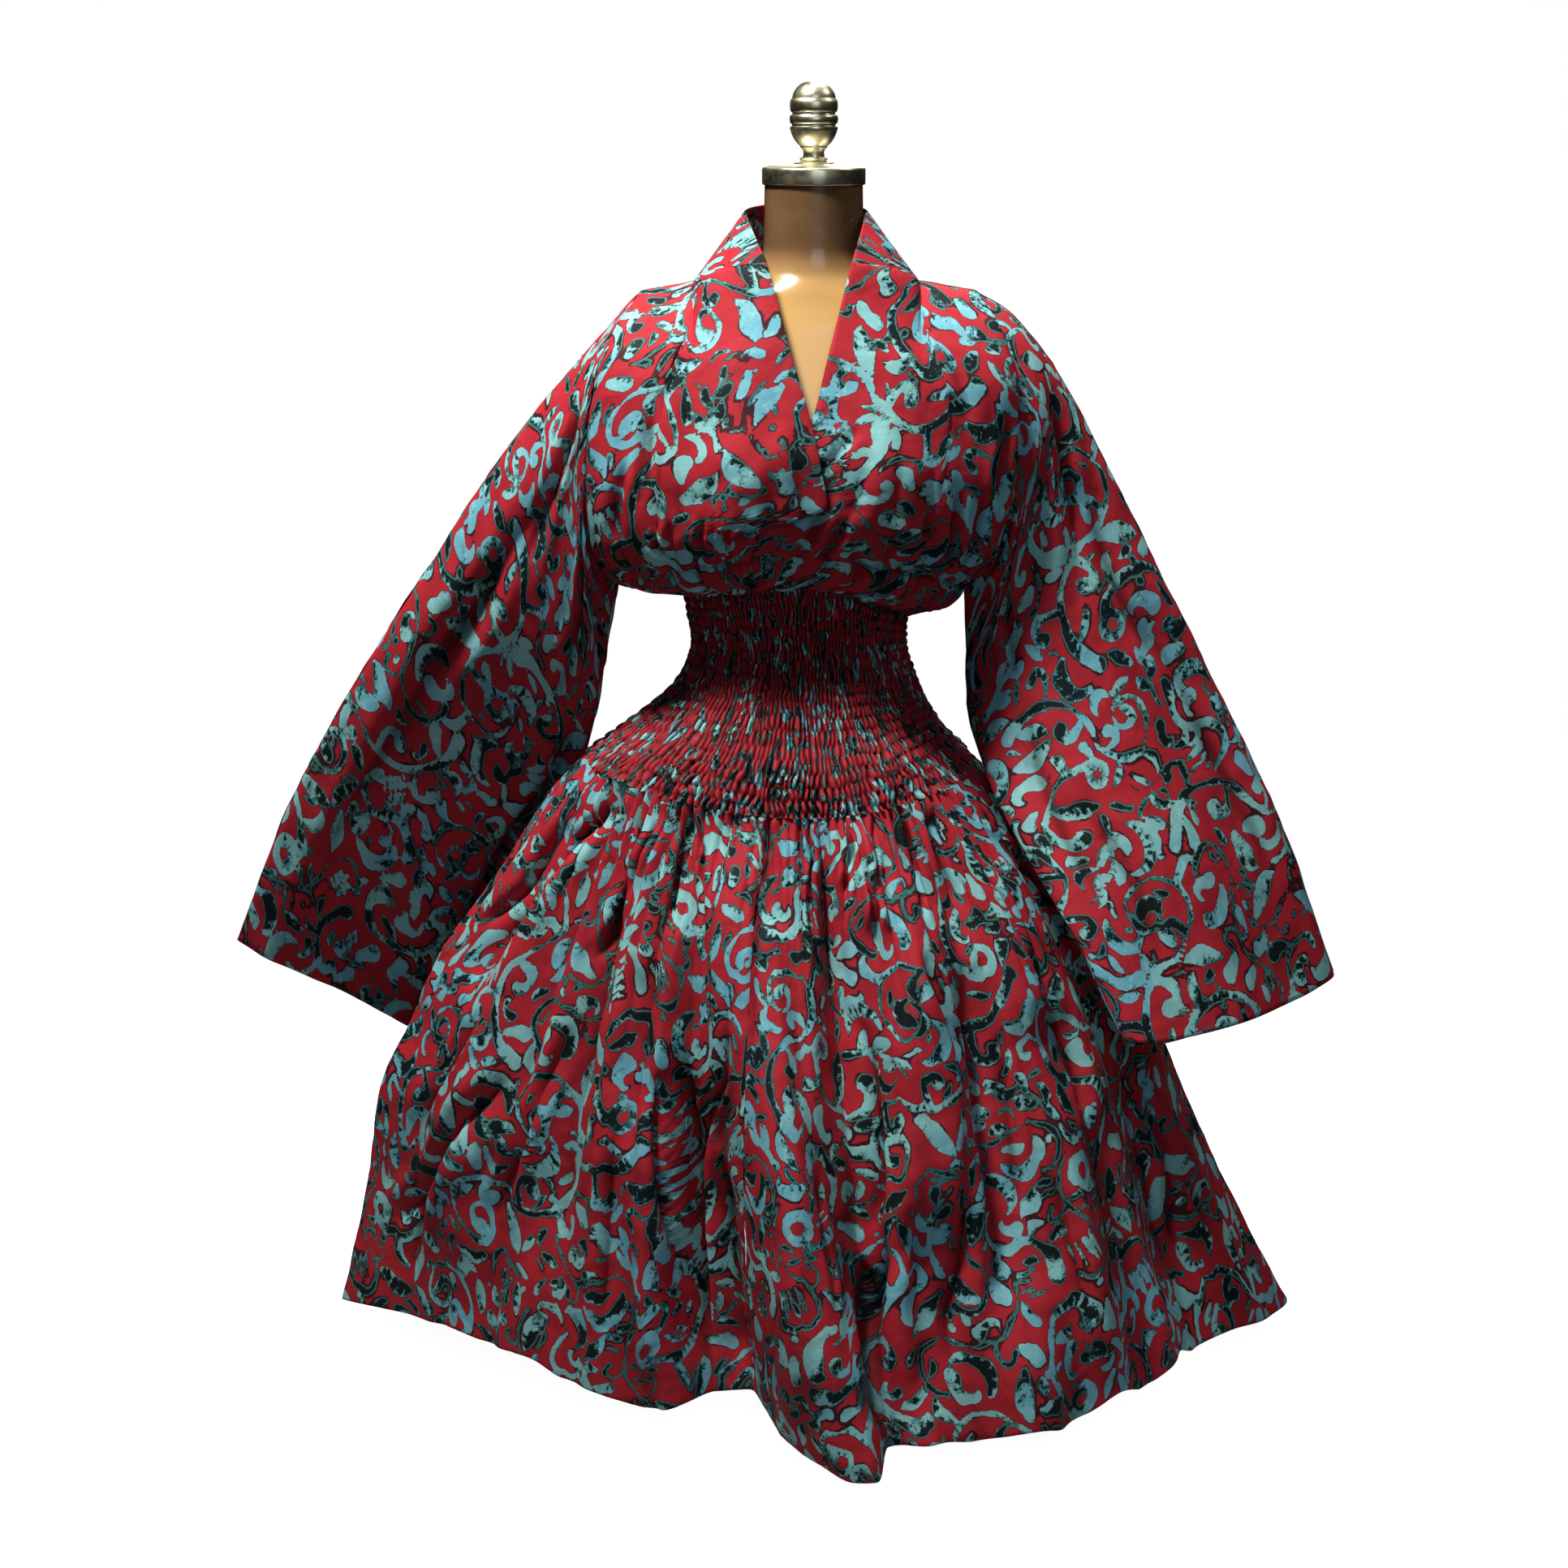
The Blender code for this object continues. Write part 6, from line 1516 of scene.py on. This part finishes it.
def form_piece(material):
    """The torso of the form, as a smooth shell through its rings."""
    z = np.concatenate([np.linspace(0.540, 0.548, 5), np.linspace(0.5525, NECK_TOP, 190)])[:, None]
    angle = np.linspace(0, 2 * np.pi, FORM_COLUMNS, endpoint=False)[None, :]
    points = ring_point(FORM_RINGS, angle, z)
    middle = points.mean(axis=1, keepdims=True)
    foot, top = points[:1], points[-1:]
    points = np.concatenate(
        [middle[:1] + (foot - middle[:1]) * 0.001, points, middle[-1:] + (top - middle[-1:]) * 0.001]
    )
    faces = grid_faces(points.shape[0], FORM_COLUMNS, closed=True)
    mesh = new_mesh("form_shell", points.reshape(-1, 3), faces)
    mesh.set_sharp_from_angle(angle=math.radians(60))
    return new_piece("form_shell", mesh, material, "form_torso")


CAP_PROFILE = (
    (0.0552, 0.0000), (0.0566, 0.0004), (0.0573, 0.0012), (0.0575, 0.0022), (0.0575, 0.0165),
    (0.0572, 0.0178), (0.0562, 0.0190), (0.0545, 0.0196), (0.0535, 0.0194), (0.0525, 0.0200),
    (0.0400, 0.0216), (0.0260, 0.0226), (0.0225, 0.0232), (0.0222, 0.0242), (0.0180, 0.0246),
    (0.0150, 0.0260),
)
FINIAL_PROFILE = (
    (0.0138, 0.0000), (0.0152, 0.0008), (0.0156, 0.0020), (0.0148, 0.0032), (0.0120, 0.0040),
    (0.0118, 0.0056), (0.0114, 0.0078), (0.0116, 0.0100), (0.0124, 0.0122), (0.0140, 0.0136),
    (0.0152, 0.0146), (0.0150, 0.0158), (0.0160, 0.0164), (0.0192, 0.0196), (0.0222, 0.0238),
    (0.0246, 0.0288), (0.0260, 0.0330), (0.0266, 0.0352), (0.0262, 0.0368), (0.0246, 0.0374),
    (0.0240, 0.0386), (0.0244, 0.0398), (0.0258, 0.0404), (0.0266, 0.0422), (0.0269, 0.0450),
    (0.0266, 0.0478), (0.0258, 0.0494), (0.0242, 0.0500), (0.0236, 0.0512), (0.0240, 0.0524),
    (0.0252, 0.0530), (0.0262, 0.0552), (0.0266, 0.0590), (0.0264, 0.0632), (0.0256, 0.0664),
    (0.0244, 0.0672), (0.0240, 0.0684), (0.0238, 0.0700), (0.0222, 0.0744), (0.0192, 0.0790),
    (0.0150, 0.0828), (0.0100, 0.0852), (0.0050, 0.0862),
)


# Stage


# Square lamps: where they stand, what they face, their size, power and colour
Lamp = namedtuple("Lamp", "name place aim size power colour")

LIGHTS = (
    Lamp("key_light", (-0.66, -0.50, 2.95), (0.0, -0.15, 0.60), 0.34, 78.0, (1.0, 0.95, 0.88)),
    Lamp("side_light", (1.60, 0.10, 2.80), (0.35, -0.10, 0.25), 0.50, 7.0, (1.0, 0.96, 0.90)),
    Lamp("fill_light", (0.6, -3.6, 2.3), (0.0, 0.0, 0.7), 1.8, 13.0, (0.80, 0.88, 1.0)),
    Lamp("back_light", (0.5, 3.4, 2.7), (0.0, 0.0, 0.7), 1.6, 13.0, (0.94, 0.97, 1.0)),
    Lamp("top_light", (0.5, 1.1, 3.4), (0.0, 0.0, 0.8), 1.2, 26.0, (1.0, 0.98, 0.95)),
)

# The paper: how far it lies flat, the radius of its bend, and its height at the edge
PAPER_FLAT, PAPER_BEND, PAPER_HEIGHT = 4.4, 2.0, 4.2
PAPER_GLOW = 0.97  # lifts the paper to near white for the camera alone
PAPER_DARKENS = 0.9, 1.5  # how far out it stops giving light back, and only glows


def soft_light(lamp):
    light = bpy.data.lights.new(lamp.name, "AREA")
    light.shape, light.size, light.energy, light.color = "SQUARE", lamp.size, lamp.power, lamp.colour
    holder = bpy.data.objects.new(lamp.name, light)
    away = np.array(lamp.place) - np.array(lamp.aim)
    tilt = math.atan2(math.hypot(away[0], away[1]), away[2])
    holder.location = lamp.place
    holder.rotation_euler = (tilt, 0.0, math.atan2(away[0], -away[1]))
    bpy.context.scene.collection.objects.link(holder)


def pale_stage():
    """A plain floor that sweeps up all round the dress, and soft studio light."""
    bend = np.linspace(0, np.pi / 2, 24)
    curve = PAPER_BEND * np.sin(bend), PAPER_BEND * (1 - np.cos(bend))
    reach = np.concatenate([[0.001, 2.0], PAPER_FLAT + curve[0], [PAPER_FLAT + PAPER_BEND]])[:, None]
    z = np.concatenate([[0.0, 0.0], curve[1], [PAPER_HEIGHT]])[:, None]
    turn = np.linspace(0, 2 * np.pi, 96, endpoint=False)[None, :]
    points = np.stack(np.broadcast_arrays(reach * np.cos(turn), reach * np.sin(turn), z), -1)
    mesh = new_mesh("studio_floor", points.reshape(-1, 3), grid_faces(*points.shape[:2], closed=True))
    material, tree, shader = new_material("studio_paper", 0.9)
    place = add(tree, "ShaderNodeTexCoord").outputs["Object"]
    tone = spread(tree, grain(tree, place, 3.0), 0.3, 0.7)
    paper = blend(tree, tone, (0.93, 0.93, 0.94, 1), (0.95, 0.95, 0.95, 1))
    seen = add(tree, "ShaderNodeLightPath").outputs["Is Camera Ray"]
    away = add(tree, "ShaderNodeVectorMath", {"Vector": place}, operation="LENGTH").outputs["Value"]
    near = blend(tree, seen, (0.22, 0.22, 0.23, 1), paper)
    colour = blend(tree, spread(tree, away, *PAPER_DARKENS), near, (0, 0, 0, 1))
    tree.links.new(colour, shader.inputs["Base Color"])
    glow = spread(tree, away, *PAPER_DARKENS, PAPER_GLOW, 1.0)
    tree.links.new(calc(tree, "MULTIPLY", seen, glow), shader.inputs["Emission Strength"])
    shader.inputs["Emission Color"].default_value = (1, 1, 1, 1)
    mesh.materials.append(material)
    floor = bpy.data.objects.new("studio_floor", mesh)
    bpy.context.scene.collection.objects.link(floor)

    world = bpy.data.worlds.new("studio_air")
    world.use_nodes = True
    world.node_tree.nodes["Background"].inputs["Color"].default_value = (0.96, 0.98, 1.0, 1)
    world.node_tree.nodes["Background"].inputs["Strength"].default_value = 0.045
    bpy.context.scene.world = world
    for light in LIGHTS:
        soft_light(light)


def photo_camera():
    camera = bpy.data.cameras.new("photo_camera")
    camera.sensor_width, camera.lens = 36.0, 71.1
    holder = bpy.data.objects.new("photo_camera", camera)
    holder.location = (-0.033, -3.5, 1.427)
    holder.rotation_euler = (math.radians(90 - 12.32), 0.0, 0.0)
    bpy.context.scene.collection.objects.link(holder)
    bpy.context.scene.camera = holder


# Assembly


def dress(tile, cotton):
    """Every cut piece of the dress, in the order in which they are sewn on."""
    for node, panel in SKIRT_PANELS.items():
        grid = skirt_sheet(panel.first, panel.last, panel.spacing)
        grid = creased(grid, CREASES[node])
        grid = rumpled(rumpled(grid, 0.0015, 0.034, 31), 0.0006, 0.012, 35)
        grid = sewn_down(grid, ("left", "right"), 0.0005)
        grid = turned_under(grid, "low")
        sheet(node, grid, panel.lay, tile, cotton)
    for node, first in (("waist_smocked_front", -90.0), ("waist_smocked_back", 90.0)):
        points, painted_shade = smock_sheet(first, first + 180.0)
        grid = grid_of(points)
        width = np.linspace(-0.5, 0.5, grid.across.shape[1])[None, :] * SMOCK_CLOTH_WIDTH
        grid = grid._replace(across=width + 0 * grid.across)
        sheet(node, grid, Lay(0, 0.33, 0.09), tile, cotton, painted_shade)
    bodice = {
        "bodice_front_under": (front_sheet(1), ("right", "low"), "left", Lay(0, 0.18, 0.28)),
        "bodice_front_over": (front_sheet(-1), ("left", "low"), "right", Lay(0, 0.41, 0.02)),
        "bodice_back": (back_sheet(), ("left", "right", "low"), None, Lay(0, 0.07, 0.19)),
    }
    for node, (points, seams, free, lay) in bodice.items():
        grid = waist_gathers(grid_of(points))
        grid = creased(grid, CREASES[node])
        grid = rumpled(rumpled(grid, 0.0010, 0.028, 32), 0.0005, 0.012, 37)
        grid = sewn_down(grid, seams)
        if free:
            grid = turned_under(grid, free)
        sheet(node, grid, lay, tile, cotton)
    grid = rumpled(grid_of(collar_sheet()), 0.0003, 0.024, 33)
    for edge in ("high", "left", "right"):
        grid = turned_under(grid, edge)
    sheet("collar", grid, Lay(0, 0.22, 0.37), tile, cotton)
    for side, stations, way, turn in (("left", LEFT_SLEEVE, -1, 24), ("right", RIGHT_SLEEVE, 1, -24)):
        for face in ("front", "back"):
            node = f"sleeve_{side}_{face}"
            back = face == "back"
            grid = grid_of(sleeve_sheet(stations, way, back))
            armhole, cuff = ("left", "right") if (way > 0) != back else ("right", "left")
            grid = creased(grid, CREASES[node])
            grid = rumpled(rumpled(grid, 0.0016, 0.040, 34), 0.0006, 0.014, 36)
            grid = sewn_down(grid, (armhole,))
            grid = turned_under(grid, cuff)
            sheet(node, grid, Lay(turn, 0.15, 0.31), tile, cotton)


def waist_gathers(grid):
    """Gathers of the bodice above the smocking, fading out up the chest."""
    height = np.linalg.norm(np.diff(grid.points, axis=0), axis=2)
    up = np.pad(np.cumsum(height, axis=0), ((1, 0), (0, 0)))
    started = ease(0.0, 0.006, up)
    height = 0.0 * up
    for size, depth, reach, seed in WAIST_GATHERS:
        reach = reach * (1 + 0.5 * uneven(grid.across, 0.0 * up, size * 2, seed))
        fade = np.maximum(1 - up / reach, 0.0) ** 1.2 * started
        phase = grid.across / size * np.pi + 1.4 * uneven(grid.across, up, size * 2.4, seed + 1)
        height += fade * depth * (np.abs(np.cos(phase)) ** 0.8 - 0.58)
    return moved_out(grid, height)


def sheet(node, grid, lay, tile, cotton, painted_shade=None):
    """Makes the piece."""
    slit_shaded = painted_shade is not None
    # painted shade: the smock's own slits where they are given, and the folds of every other piece
    piece = lay_cloth(node, grid, lay, tile, cotton, painted_shade if slit_shaded else fold_shade(grid), slit_shaded)


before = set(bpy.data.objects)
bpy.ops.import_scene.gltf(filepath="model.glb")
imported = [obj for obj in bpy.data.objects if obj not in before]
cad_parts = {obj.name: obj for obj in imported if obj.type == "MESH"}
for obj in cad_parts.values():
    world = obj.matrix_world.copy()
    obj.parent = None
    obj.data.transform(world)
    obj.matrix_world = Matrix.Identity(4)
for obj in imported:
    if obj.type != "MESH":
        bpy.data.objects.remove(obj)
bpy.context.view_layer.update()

wax_print, cotton_weave, polish = wax_print_group(), cotton_group(), polish_group()
cotton = printed_cotton(wax_print, cotton_weave)
lacquer, brass, steel = form_lacquer(polish), turned_brass(polish), satin_steel(polish)

dress(lay_print(), cotton)
form_piece(lacquer)
turned_piece("neck_cap_turned", CAP_PROFILE, NECK_TOP + JOINT_GAP, "neck_cap", brass)
finial_foot = NECK_TOP + 2 * JOINT_GAP + CAP_PROFILE[-1][1]
turned_piece("finial_turned", FINIAL_PROFILE, finial_foot, "finial", brass)
for node in ("pole", "base_plate"):
    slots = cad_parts[node].material_slots
    slots[0].material = steel

pale_stage()
photo_camera()
view = bpy.context.scene.view_settings
view.view_transform, view.look, view.exposure = "Standard", "None", 0.0
